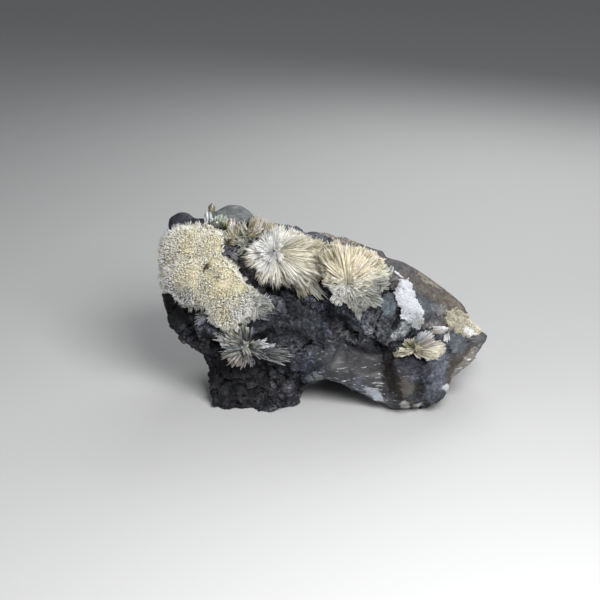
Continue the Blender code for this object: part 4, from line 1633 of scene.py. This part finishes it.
def make_sprays() -> list[Spray]:
    """Every spray of the specimen, at the places of the solids they stand for.

    Returns:
        The sprays, in the order in which they are built.
    """
    return [
        Spray(
            "needles_left", "spray_left", "cream_needles",
            (
                Burst(-45.5, 46.0, 12.0, sink=0.3, core=0.86, matted=True),
                Burst(-36.5, 46.0, 11.0, sink=0.35, core=0.86, matted=True),
                Burst(-43.5, 35.5, 12.0, sink=0.3, core=0.86, matted=True),
                Burst(-33.5, 36.5, 12.0, sink=0.3, core=0.86, matted=True),
                Burst(-32.0, 28.0, 10.0, sink=0.25, core=0.8, matted=True),
                Burst(-24.5, 29.0, 9.5, sink=0.25, core=0.3),
            ),
            (Star(-27.0, 29.0, NEEDLES, sink=2),),
            (
                # fans along the lower edge, and one at the upper right
                Fan((-27.5, 29), (-30.5, 21.5), 0.9, 2.0, CREAM, 3),
                Fan((-26, 27), (-26.2, 22.5), 0.8, 2.0, GREY_OLIVE, 2),
                Fan(
                    (-25, 26.5), (-15.4, 25.6), 0.6, 1.3, shade(100, 102, 106), 1,
                    layers=2, ragged=0.7, stray=0.4,
                ),
                Fan((-24, 25.5), (-17, 23.7), 0.4, 0.8, shade(120, 123, 126), 1, layers=1, ragged=0.6),
                Fan((-26, 29), (-18.5, 30), 0.8, 2.6, GREY_OLIVE, 3),
                Fan((-34, 27), (-37, 22.8), 0.8, 1.8, PALE_CREAM, 3),
                Fan((-41.7, 30.6), (-46, 28.2), 0.4, 0.9, SILVER, 2),
                Fan((-42.5, 30.6), (-44, 27.3), 0.4, 0.8, GLASS, 2),
                Fan(
                    (-37.4, 25.4), (-42.4, 22.4), 0.4, 1.4, shade(150, 156, 160), 1.4,
                    ragged=0.7, stray=0.4,
                ),
                Fan((-37.6, 26), (-42, 24.8), 0.3, 1.1, SLATE_GREY, 1.4, ragged=0.7, stray=0.4),
                Fan((-30, 27), (-33.5, 21.8), 0.8, 1.6, GREY_OLIVE, 2.5, ragged=0.4),
                Fan((-34.5, 49.5), (-28.8, 49), 0.5, 1.0, OLIVE, 3),
            ),
            Palette(
                VELVET,
                (
                    # painted light on the needles at the left edge, which are seen side-on
                    (Patch((-52, 44), (5, 14)), shade(244, 235, 209)),
                    (Patch((-21, 28), (6, 6)), GREY_OLIVE),
                    (Patch((-49, 30.5), (8, 5)), shade(172, 170, 164)),
                    (Patch((-27, 26), (4, 4)), PALE_CREAM),
                    # painted shade in small hollows of the mat
                    (Patch((-38, 40.5), (1.7, 0.8), 40), shade(70, 60, 48)),
                    (Patch((-48.7, 42.7), (0.4, 0.9)), shade(90, 80, 62)),
                    (Patch((-34, 37.5), (0.7, 0.5)), shade(90, 80, 62)),
                ),
                0.08,
            ),
            CrystalFinish("soft cream crystal", 0.45, 0.9, foot_light=0.97, bleed=0.0026),
            1, Mat(), LEFT_RIM, shaded=0.57,
        ),
        Spray(
            "needles_centre", "spray_centre", "white_needles",
            (
                Burst(-16.5, 45.7, 14.5, core=0.3, flat=0.6),
                Burst(-6.5, 44.5, 11.5, sink=0.25, core=0.45),
                Burst(-9.5, 37.5, 8.5, sink=0.25, core=0.35),
            ),
            (
                Star(-16.5, 45.7, FLAT_NEEDLES),
                Star(-16.5, 45.7, HEART),
                Star(-7.5, 45.0, SIDE_NEEDLES, sink=3),
            ),
            (
                # longer rays below and on the right
                Fan((-13.3, 44), (0.6, 30), 0.8, 2.2, shade(160, 157, 142), 1.6, deepest=1, ragged=0.55),
                Fan((-11.7, 43.5), (-6.3, 31), 0.8, 2.4, OLIVE, 2.5, deepest=1),
                Fan((-11, 46), (-1, 47), 1.0, 3.0, YELLOW, 4, deepest=1),
                Fan((-11, 47), (-3.2, 49.4), 0.8, 1.6, OLIVE, 3, deepest=1, ragged=0.5),
                Fan((-6, 45), (-0.8, 50.4), 1.0, 2.0, YELLOW, 3.5, deepest=1, ragged=0.5),
                Fan((-11, 44.5), (0, 41.5), 1.0, 2.6, CREAM, 4, deepest=1),
                Fan((-10, 43), (-1, 37), 1.0, 2.0, YELLOW, 3.5, deepest=1),
            ),
            Palette(
                PALE_CREAM,
                (
                    (Patch((-18.5, 46), (7, 8)), WHITE),
                    (Patch((-4, 46), (7, 8)), CREAM),
                    # painted light on the lower rays
                    (Patch((-13, 34.5), (8, 3.5)), shade(234, 227, 207)),
                ),
            ),
            CrystalFinish("cream crystal"), 2, rim=CENTRE_RIM, rosettes=(
                Rosette(-16.7, 45.8, 46, 5.6, 4.4), Rosette(-16.5, 45.6, 34, 6.4, 6.0, 0.35),
                Rosette(-16.6, 45.7, 22, 6.8, 6.6, 0.6, 5.5),
                Rosette(-7.5, 46.5, 20, 5.4, 5.6, 0.5, 7.5), Rosette(-8.5, 39.5, 18, 4.6, 5.0, 0.5, 6.5),
                Rosette(-3.6, 43.0, 14, 5.0, 5.0, 0.5, 5.0),
            ),
        ),
        Spray(
            "needles_right", "spray_right", "cream_needles",
            (
                Burst(8.0, 38.5, 13.5, core=0.3, flat=0.6),
                Burst(16.0, 39.0, 9.5, sink=0.25, core=0.45),
                Burst(11.0, 29.5, 8.0, sink=0.2, core=0.35),
            ),
            (
                Star(6.7, 35.3, NEEDLES, sink=1),
                Star(6.7, 35.3, HEART, sink=1),
                Star(14.0, 38.0, SIDE_NEEDLES, sink=3),
            ),
            (
                # rays on the left and up to the scalloped edge
                Fan((4, 37.5), (-1.4, 46.6), 1.0, 2.2, YELLOW, 3.5, deepest=1, ragged=0.4),
                Fan((4, 37), (-1.8, 42.5), 1.0, 2.0, OLIVE, 3.5, deepest=1, ragged=0.4),
                Fan((3, 43), (-0.4, 49.4), 1.0, 2.0, OLIVE, 4, deepest=1, ragged=0.5),
                Fan((4, 44), (2.6, 50), 1.0, 2.0, YELLOW, 4, deepest=1, ragged=0.5),
                Fan((2.6, 42), (0.5, 46.8), 1.2, 2.4, YELLOW, 5, lift=3, deepest=1, ragged=0.5),
                Fan((7, 43), (6.7, 48.3), 1.4, 3.2, PEACH, 5.4, lift=3.4, deepest=1, ragged=0.5),
                Fan((10.4, 42), (13, 47.6), 1.4, 3.2, PEACH, 5.4, lift=3.4, deepest=1, ragged=0.5),
                Fan((13, 39.6), (18, 44), 1.4, 2.8, WARM_CREAM, 5, lift=3.2, deepest=1, ragged=0.5),
                # greener rays on the right and below
                Fan((9.7, 34.7), (20.5, 36), 1.0, 2.4, GREY_OLIVE, 4, deepest=1),
                Fan((9.5, 33.5), (17.7, 28.8), 1.0, 2.2, GREY_OLIVE, 3.5, deepest=1),
                Fan((8.8, 33.5), (8.8, 27), 1.0, 2.2, CREAM, 3, deepest=1, ragged=0.5),
                Fan((9, 33), (12.5, 27.5), 1.0, 2.0, GREY_OLIVE, 3, deepest=1, ragged=0.5),
                Fan((9.4, 31), (10.7, 23), 0.9, 0.8, GREY_OLIVE, 2.5, deepest=1, ragged=0.6),
                # paler ones low on the left
                Fan((5.7, 34), (2.7, 29), 0.8, 2.2, PALE_CREAM, 3, deepest=1),
                Fan((5, 35), (-1, 37.5), 1.0, 2.4, CREAM, 4, deepest=1),
                # broad grey blades at the right end
                Fan(
                    (19.6, 37.5), (21.3, 42.7), 1.5, 1.7, shade(150, 153, 146), 1.5,
                    width=1.1, layers=2, ragged=0.5, cut=BLUNT, stray=0.4,
                ),
            ),
            Palette(
                WARM_CREAM,
                (
                    (Patch((8, 46), (14, 7)), PEACH),
                    (Patch((4, 32), (5, 4), 0, 0.8), shade(222, 218, 206)),
                    (Patch((11, 27), (6, 5)), GREY_OLIVE),
                    (Patch((18, 33), (5, 5)), GREY_OLIVE),
                ),
            ),
            CrystalFinish("warm cream crystal", 0.38, 0.7, foot_light=0.95, bleed=0.002),
            3, rim=RIGHT_RIM, rosettes=(
                Rosette(6.8, 35.4, 34, 5.0, 4.6, 0.4),
                Rosette(2.2, 44.6, 16, 5.6, 5.4, 0.5, 5.0), Rosette(8.6, 44.4, 16, 6.0, 6.0, 0.5, 5.0),
                Rosette(14.4, 42.2, 16, 5.6, 5.6, 0.5, 5.5), Rosette(16.4, 36.0, 16, 5.0, 5.0, 0.5, 5.0),
                Rosette(11.4, 39.0, 16, 6.4, 6.4, 0.5, 4.5), Rosette(2.4, 39.0, 16, 5.6, 5.6, 0.5, 4.5),
                Rosette(10.5, 30.6, 14, 4.4, 4.6, 0.5, 4.5),
            ),
        ),
        Spray(
            "blades_crest", "spray_crest", "brown_blades",
            (Burst(-25.5, 51.5, 9.5, sink=0.1, core=0.3),),
            (Star(-25.5, 50.5, COARSE),),
            (
                # blades that stand up over the crest
                Fan((-29.5, 50), (-30.2, 56.7), 0.8, 1.2, PINK_GREY, 2.5, width=0.8, layers=1, cut=BLUNT),
                Fan((-28.3, 49.3), (-26.6, 56.4), 0.7, 1.6, OLIVE, 2.5, ragged=0.6, width=0.4, stray=0.5),
                Fan((-24.6, 49.3), (-28, 55.4), 0.6, 1.4, GREY_OLIVE, 3, ragged=0.6, width=0.5, stray=0.5),
                Fan((-23, 52), (-22.2, 58.6), 0.4, 0.9, DULL_YELLOW, 2, ragged=0.5, stray=0.4),
                Fan((-21.5, 52), (-19.2, 57), 0.4, 1.2, CREAM, 2, ragged=0.5, stray=0.4),
                Fan(
                    (-21.3, 50.3), (-23.4, 55.8), 0.9, 2.0, PINK_GREY, 3.2,
                    ragged=0.6, width=0.5, stray=0.5,
                ),
                Fan((-20, 50), (-17.4, 55.6), 0.7, 1.8, DULL_YELLOW, 2.5, ragged=0.5, stray=0.5),
                Fan((-19, 50), (-15.4, 54.2), 0.6, 1.5, CREAM, 2.5, ragged=0.5, stray=0.5),
                Fan(
                    (-27.6, 49.7), (-22.4, 53.2), 0.6, 1.2, DARK_OLIVE, 3.6,
                    ragged=0.6, width=0.5, stray=0.5,
                ),
                Fan((-29, 48.3), (-32.2, 54.4), 0.5, 1.1, OLIVE, 3, ragged=0.5, width=0.45, stray=0.5),
                Fan((-30.5, 47.6), (-33.8, 51.4), 0.4, 1.0, GREY_OLIVE, 3, ragged=0.5, stray=0.5),
                # smaller ones below them
                Fan((-30, 43.5), (-25.5, 47.3), 0.4, 0.8, GREY_OLIVE, 2, ragged=0.5, stray=0.4),
                Fan((-31, 45.5), (-28, 43.5), 0.4, 0.9, SLATE_GREY, 2, ragged=0.5, stray=0.4),
                Fan((-33, 47.6), (-28, 49.6), 0.4, 1.2, DARK_OLIVE, 3.6, ragged=0.6, stray=0.5),
                Fan(
                    (-24.6, 46.5), (-28.4, 50.5), 0.5, 1.3, GREY_OLIVE, 3.6,
                    ragged=0.6, width=0.4, stray=0.5,
                ),
                Fan((-22.6, 48.5), (-26, 52.8), 0.5, 1.2, SLATE_GREY, 4, ragged=0.6, width=0.5, stray=0.5),
            ),
            Palette(
                DARK_OLIVE,
                ((Patch((-20, 54), (3, 3)), PINK_GREY), (Patch((-27, 48), (6, 4)), GREY_OLIVE)),
                0.25,
            ),
            CrystalFinish("olive crystal", roughness=0.25), 4,
        ),
        Spray(
            "crystals_top_knob", "crystals_top", "brown_blades",
            (Burst(-35.5, 55.5, 6.5, sink=0.1, core=0.3),),
            (),
            (
                # the beige finger
                Fan(
                    (-36.7, 57.4), (-36.7, 61.7), 0.3, 0.3, shade(142, 134, 116), 1.5,
                    width=1.7, layers=1, ragged=0.1, cut=BLUNT,
                ),
                # silver and greenish crystals at its foot
                Fan((-37.9, 54.5), (-38, 59), 0.8, 1.1, SILVER, 2, width=0.8, cut=BLUNT),
                Fan((-34.3, 53.7), (-32.8, 57.9), 1.0, 1.8, shade(150, 160, 145), 3, width=0.9, layers=2),
                Fan((-35.5, 54), (-35.8, 57.5), 0.8, 1.4, shade(165, 172, 165), 3, width=0.7, layers=2),
                Fan((-32.2, 52.9), (-32, 55.9), 0.5, 0.8, OLIVE, 3, width=0.6),
                Fan((-38.3, 52.5), (-39.3, 55.6), 0.8, 1.0, PINK_GREY, 2.5, width=0.5),
            ),
            Palette(shade(130, 132, 126), (), 0.2),
            CrystalFinish("greenish crystal", roughness=0.26, clear=0.12), 5,
        ),
        Spray(
            "flower_lower", "spray_lower", "grey_blades",
            (
                Burst(-27.0, 15.0, 11.0, sink=0, core=0.06, flat=0.7),
                Burst(-17.5, 12.0, 9.5, sink=0, core=0.05, flat=0.6),
            ),
            (),
            (
                # the petals, clockwise from the left
                *blades((
                    ((-26.6, 15.6), (-36.0, 19.3), 1.5, ASH, 2.2),
                    ((-26.6, 15.2), (-35.6, 17.2), 0.9, SILVER, 2.0),
                    ((-27.4, 16.6), (-32.8, 21.6), 1.5, ASH, 2.0),
                    ((-26.8, 17.4), (-29.4, 22.4), 1.1, SLATE_GREY, 1.5),
                    ((-26, 17), (-26.2, 23.6), 1.4, GREY_OLIVE, 2.0),
                    ((-25.4, 16.6), (-23.8, 22), 0.9, SLATE_GREY, 1.5),
                    ((-25, 15.4), (-17.9, 17.7), 0.7, GLASS, 2.6),
                    ((-25, 15), (-16, 15.8), 0.9, SILVER, 1.2),
                    ((-24.4, 14.4), (-13, 14.4), 1.5, DIM, 1.0),
                    ((-24, 13.8), (-9.8, 12.2), 1.8, DIM, 1.0),
                    ((-23.8, 13.4), (-12, 10.2), 1.4, SLATE_GREY, 1.0),
                    ((-25, 13.4), (-23.6, 8.2), 0.9, SLATE_GREY, 1.5),
                    ((-25.4, 13.4), (-25.4, 9.2), 1.0, ROSY, 2.0),
                    ((-25.8, 13.8), (-28.2, 8.3), 1.2, ROSY, 2.2),
                    ((-26.4, 14), (-31.4, 9), 1.5, ROSY, 2.0),
                    ((-26.8, 14.4), (-34.4, 12.2), 1.3, ASH, 1.6),
                    ((-26.4, 14.8), (-32.6, 14.8), 0.8, DIM, 1.0),
                )),
                # broad blades among them
                *slabs((
                    ((-28.4, 15.8), (-34.6, 18.8), 1.3, ASH, 2.4, 1.0, 0.5),
                    ((-27.6, 17), (-31.6, 21.4), 1.2, GREY_OLIVE, 2.2, 0.9, 0.5),
                    ((-27.6, 13.4), (-31.6, 9.8), 1.4, ROSY, 2.4, 1.0, 0.5),
                    ((-26, 12.8), (-26.6, 9), 1.4, ROSY, 2.4, 0.9, 0.5),
                    ((-28, 14.4), (-33.6, 12.8), 1.2, ASH, 2.0, 0.9, 0.5),
                    ((-25.8, 18), (-26, 22.6), 1.1, ASH, 2.2, 0.9, 0.5),
                    ((-22, 13.2), (-14, 13), 1.2, SLATE_GREY, 1.4, 0.9, 0.6),
                )),
                # ragged ones close to the stone
                *tatters((
                    ((-27, 15), (-33.6, 17), 2.2, SLATE_GREY, 1.2),
                    ((-27, 14.4), (-31.4, 12.6), 2.4, DIM, 1.2), ((-26, 14), (-27, 9.4), 2.6, ASH, 1.2),
                    ((-24.6, 14.6), (-18, 12.6), 2.6, DIM, 1.0), ((-27, 16), (-29.6, 20), 2.2, ASH, 1.4),
                )),
                # short ones over the middle
                *blades((
                    ((-25.6, 15.8), (-26.8, 12), 1.1, ASH, 1.6),
                    ((-26.8, 15.6), (-24.4, 12.4), 1.0, GREY_OLIVE, 1.6),
                    ((-26.6, 14.4), (-24.8, 17.8), 1.0, GREY_OLIVE, 1.6),
                    ((-26, 15), (-30.5, 17), 1.2, ASH, 2.8), ((-26, 15), (-21, 13), 1.2, DIM, 2.4),
                    ((-26, 14.6), (-29.6, 11.4), 1.2, SILVER, 2.6),
                    ((-25.6, 15), (-21.6, 17), 0.9, GREY_OLIVE, 2.6),
                ), first=2),
            ),
            Palette(SILVER, (), 0.24),
            CrystalFinish("silvery crystal", roughness=0.22, clear=0.1, foot_light=0.7), 6,
        ),
        Spray(
            "fan_ledge", "spray_ledge", "cream_needles",
            (Burst(28.5, 14.0, 10.5, lift=2, core=0.08, flat=0.7),),
            (),
            (
                Fan((28.8, 14), (38.8, 14.6), 0.7, 2.6, BEIGE, 3.2, lift=1.2, layers=4, ragged=0.18),
                Fan((28.8, 13.6), (36.4, 12.4), 0.7, 1.5, CREAM, 3.4, lift=1.2, layers=4, ragged=0.2),
                Fan((29, 14), (22.2, 13.4), 0.6, 2.0, CREAM, 2.4, lift=1, layers=4, ragged=0.35),
                Fan((28.8, 13.8), (22.0, 12.8), 0.4, 1.3, CREAM, 2.4, lift=1),
                Fan((28.8, 14), (23.4, 14.7), 0.4, 1.0, CREAM, 2.2, lift=1, ragged=0.4),
                Fan((28.8, 14.2), (25, 17.6), 0.4, 1.4, OLIVE, 2.4, lift=1),
                Fan((28.8, 14.4), (27, 18), 0.4, 1.0, OLIVE, 2, lift=1, ragged=0.4),
                Fan((28.6, 14.4), (29.6, 18.6), 0.4, 0.9, SLATE_GREY, 1.4, lift=1, ragged=0.4),
                Fan((28.6, 14.6), (31.6, 19.8), 0.4, 1.3, SILVER, 2.2, lift=1),
                Fan((28.6, 14.6), (34.4, 20.4), 0.5, 1.5, GLASS, 2.6, lift=1),
                Fan((28.6, 14.6), (35.6, 18.2), 0.5, 1.6, PINK_GREY, 2.2, lift=1.2),
                Fan((28.6, 14.4), (38.2, 16), 0.7, 1.3, PINK_GREY, 2.6, lift=1.2, ragged=0.2),
                Fan((28.6, 14.2), (38.6, 14.8), 0.7, 1.4, BEIGE, 3, lift=1.2, ragged=0.15),
                Fan((28.6, 13.8), (37.6, 13.2), 0.7, 1.3, CREAM, 3, lift=1.2, ragged=0.15),
                Fan((28.6, 13.6), (34.6, 12), 0.5, 0.9, CREAM, 2.8, lift=1.2),
                Fan((28.4, 13.6), (30.8, 11.6), 0.4, 0.9, PINK_GREY, 2.4, lift=1.2, ragged=0.4),
                Fan((31.4, 12.4), (33, 10.5), 0.2, 0.35, GLASS, 3.2, lift=2, layers=1),
                Fan((28.4, 14), (31.5, 13.4), 0.5, 1.2, CREAM, 2.4, lift=1.2, ragged=0.6, stray=0.5),
                Fan((28.4, 13.6), (30.6, 16.6), 0.5, 1.2, OLIVE, 2.2, lift=1.2, ragged=0.6, stray=0.5),
                Fan((28.8, 14.2), (25.6, 13.6), 0.5, 1.2, CREAM, 2.4, lift=1.2, ragged=0.6, stray=0.5),
                # three small pale crystals behind the fan
                Fan((34.3, 20), (38.8, 20.1), 0.4, 0.9, PINK_GREY, 1.6),
                Fan((35, 21.2), (40, 20.8), 0.4, 0.8, WHITE, 1.6),
                Fan((39.3, 20.6), (39.5, 16.4), 0.6, 1.2, WHITE, 2),
            ),
            Palette(CREAM, (), 0.2),
            CrystalFinish("ledge crystal", roughness=0.18), 7,
        ),
    ]


def make_crusts() -> list[Crust]:
    """The two granular crusts.

    Returns:
        The crust near the tip and the white one.
    """
    return [
        Crust(
            "grains_tip", "crust_tip", "yellow_crust", TIP_RIM, 3400, (0.2, 0.9), 0.55,
            Palette(
                shade(166, 158, 136),
                (
                    # painted glints
                    (Patch((47.8, 20), (2.4, 1.3), -30), WHITE),
                    (Patch((50, 22), (1.6, 2.6), 40), shade(208, 201, 172)),
                ),
                0.22,
            ),
            CrystalFinish("yellow grains", roughness=0.3), 8,
        ),
        Crust(
            "grains_white", "crust_white", "white_crust", WHITE_RIM, 7500, (0.1, 0.7), 0.45,
            Palette(shade(209, 208, 211), ((Patch((29, 22.5), (3, 2)), shade(168, 172, 170)),), 0.09),
            CrystalFinish("white grains", roughness=0.45), 9, uneven=1.2,
        ),
    ]


@dataclass
class Studio:
    """Plain pale floor, soft light, and a camera at the front."""

    lens: float = 85.0
    distance: float = 485.0
    aim: Spot = (-8.33, 30.33)
    grey: Colour = (0.5, 0.5, 0.5)
    sky: Colour = (0.92, 0.95, 1.0)
    sky_light: float = 0.16
    lights: dict[str, tuple[Triple, float, float]] = field(
        default_factory=lambda: {
            # place in millimetres, side in metres and power in watts of each
            "key": ((90, -270, 260), 0.16, 2.0),
            "fill": ((-280, -200, 140), 0.35, 0.25),
            "rim": ((120, 260, 260), 0.30, 0.7),
        }
    )

    def build(self) -> None:
        """Set everything up."""
        self.floor()
        self.world()
        for name, (at, size, power) in self.lights.items():
            self.light(name, at, size, power)
        self.camera()
        bpy.context.scene.view_settings.view_transform = "Standard"

    def floor(self) -> None:
        """A wide plain floor."""
        bm = bmesh.new()
        bmesh.ops.create_grid(bm, x_segments=1, y_segments=1, size=3)
        mesh = bpy.data.meshes.new("floor")
        bm.to_mesh(mesh)
        bm.free()
        thing = bpy.data.objects.new("floor", mesh)
        bpy.context.scene.collection.objects.link(thing)
        graph = Graph("floor")
        graph.put(graph.shader, Base_Color=(*self.grey, 1), Roughness=0.8)
        mesh.materials.append(graph.material)
        thing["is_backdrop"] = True

    def world(self) -> None:
        """Soft light from all round."""
        world = bpy.data.worlds.new("studio")
        world.use_nodes = True
        back = world.node_tree.nodes["Background"]
        back.inputs["Color"].default_value = (*self.sky, 1)
        back.inputs["Strength"].default_value = self.sky_light
        bpy.context.scene.world = world

    def light(self, name: str, at: Triple, size: float, power: float) -> None:
        """A square soft light, turned to the middle of the piece.

        Args:
            name: what it is called.
            at: its place in millimetres.
            size: its side in metres.
            power: in watts.
        """
        data = bpy.data.lights.new(name, "AREA")
        data.size = size
        data.energy = power
        thing = bpy.data.objects.new(name, data)
        place = Vector(at)
        thing.location = place * MM
        thing.rotation_mode = "QUATERNION"
        thing.rotation_quaternion = (Vector((0, 0, 30)) - place).to_track_quat("-Z", "Y")
        bpy.context.scene.collection.objects.link(thing)

    def camera(self) -> None:
        """The camera, which looks down at the front."""
        data = bpy.data.cameras.new("camera")
        data.lens = self.lens
        data.sensor_width = 36
        thing = bpy.data.objects.new("camera", data)
        thing.location = on_front(*self.aim, -self.distance) * MM
        thing.rotation_mode = "QUATERNION"
        thing.rotation_quaternion = FRONT.to_track_quat("-Z", "Y")
        bpy.context.scene.collection.objects.link(thing)
        bpy.context.scene.camera = thing


def place(thing: bpy.types.Object, node: str, slot: str) -> None:
    """Let a piece stand for its solid, and report it.

    Args:
        thing: the piece.
        node: the solid's name.
        slot: the material slot that it fills; not used.
    """
    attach(thing, "root")
    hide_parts(node)
    triangles = sum(len(face.vertices) - 2 for face in thing.data.polygons)
    LOG.info("%s: %d triangles", thing.name, triangles)


def main() -> None:
    """Build and dress the whole specimen."""
    logging.basicConfig(level=logging.INFO, format="%(name)s: %(message)s")
    solid_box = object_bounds()
    margin = 0.15
    low = np.array(solid_box[0]) / MM + margin
    high = np.array(solid_box[1]) / MM - margin
    site = Site(Ground(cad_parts["matrix"]), low, high)
    stone = Stone(site).build()
    stone.data.materials.append(StoneFinish().build())
    place(stone, "matrix", "dark_stone")
    sprays = make_sprays()
    for spray in sprays:
        spray.settle(site.ground)
    for spray in sprays:
        strangers = tuple(seat for other in sprays if other is not spray for seat in other.seats)
        place(spray.build(replace(site, strangers=strangers)), spray.node, spray.slot)
    for crust in make_crusts():
        place(crust.build(site), crust.node, crust.slot)
    Studio().build()


if __name__ == "__main__":
    main()
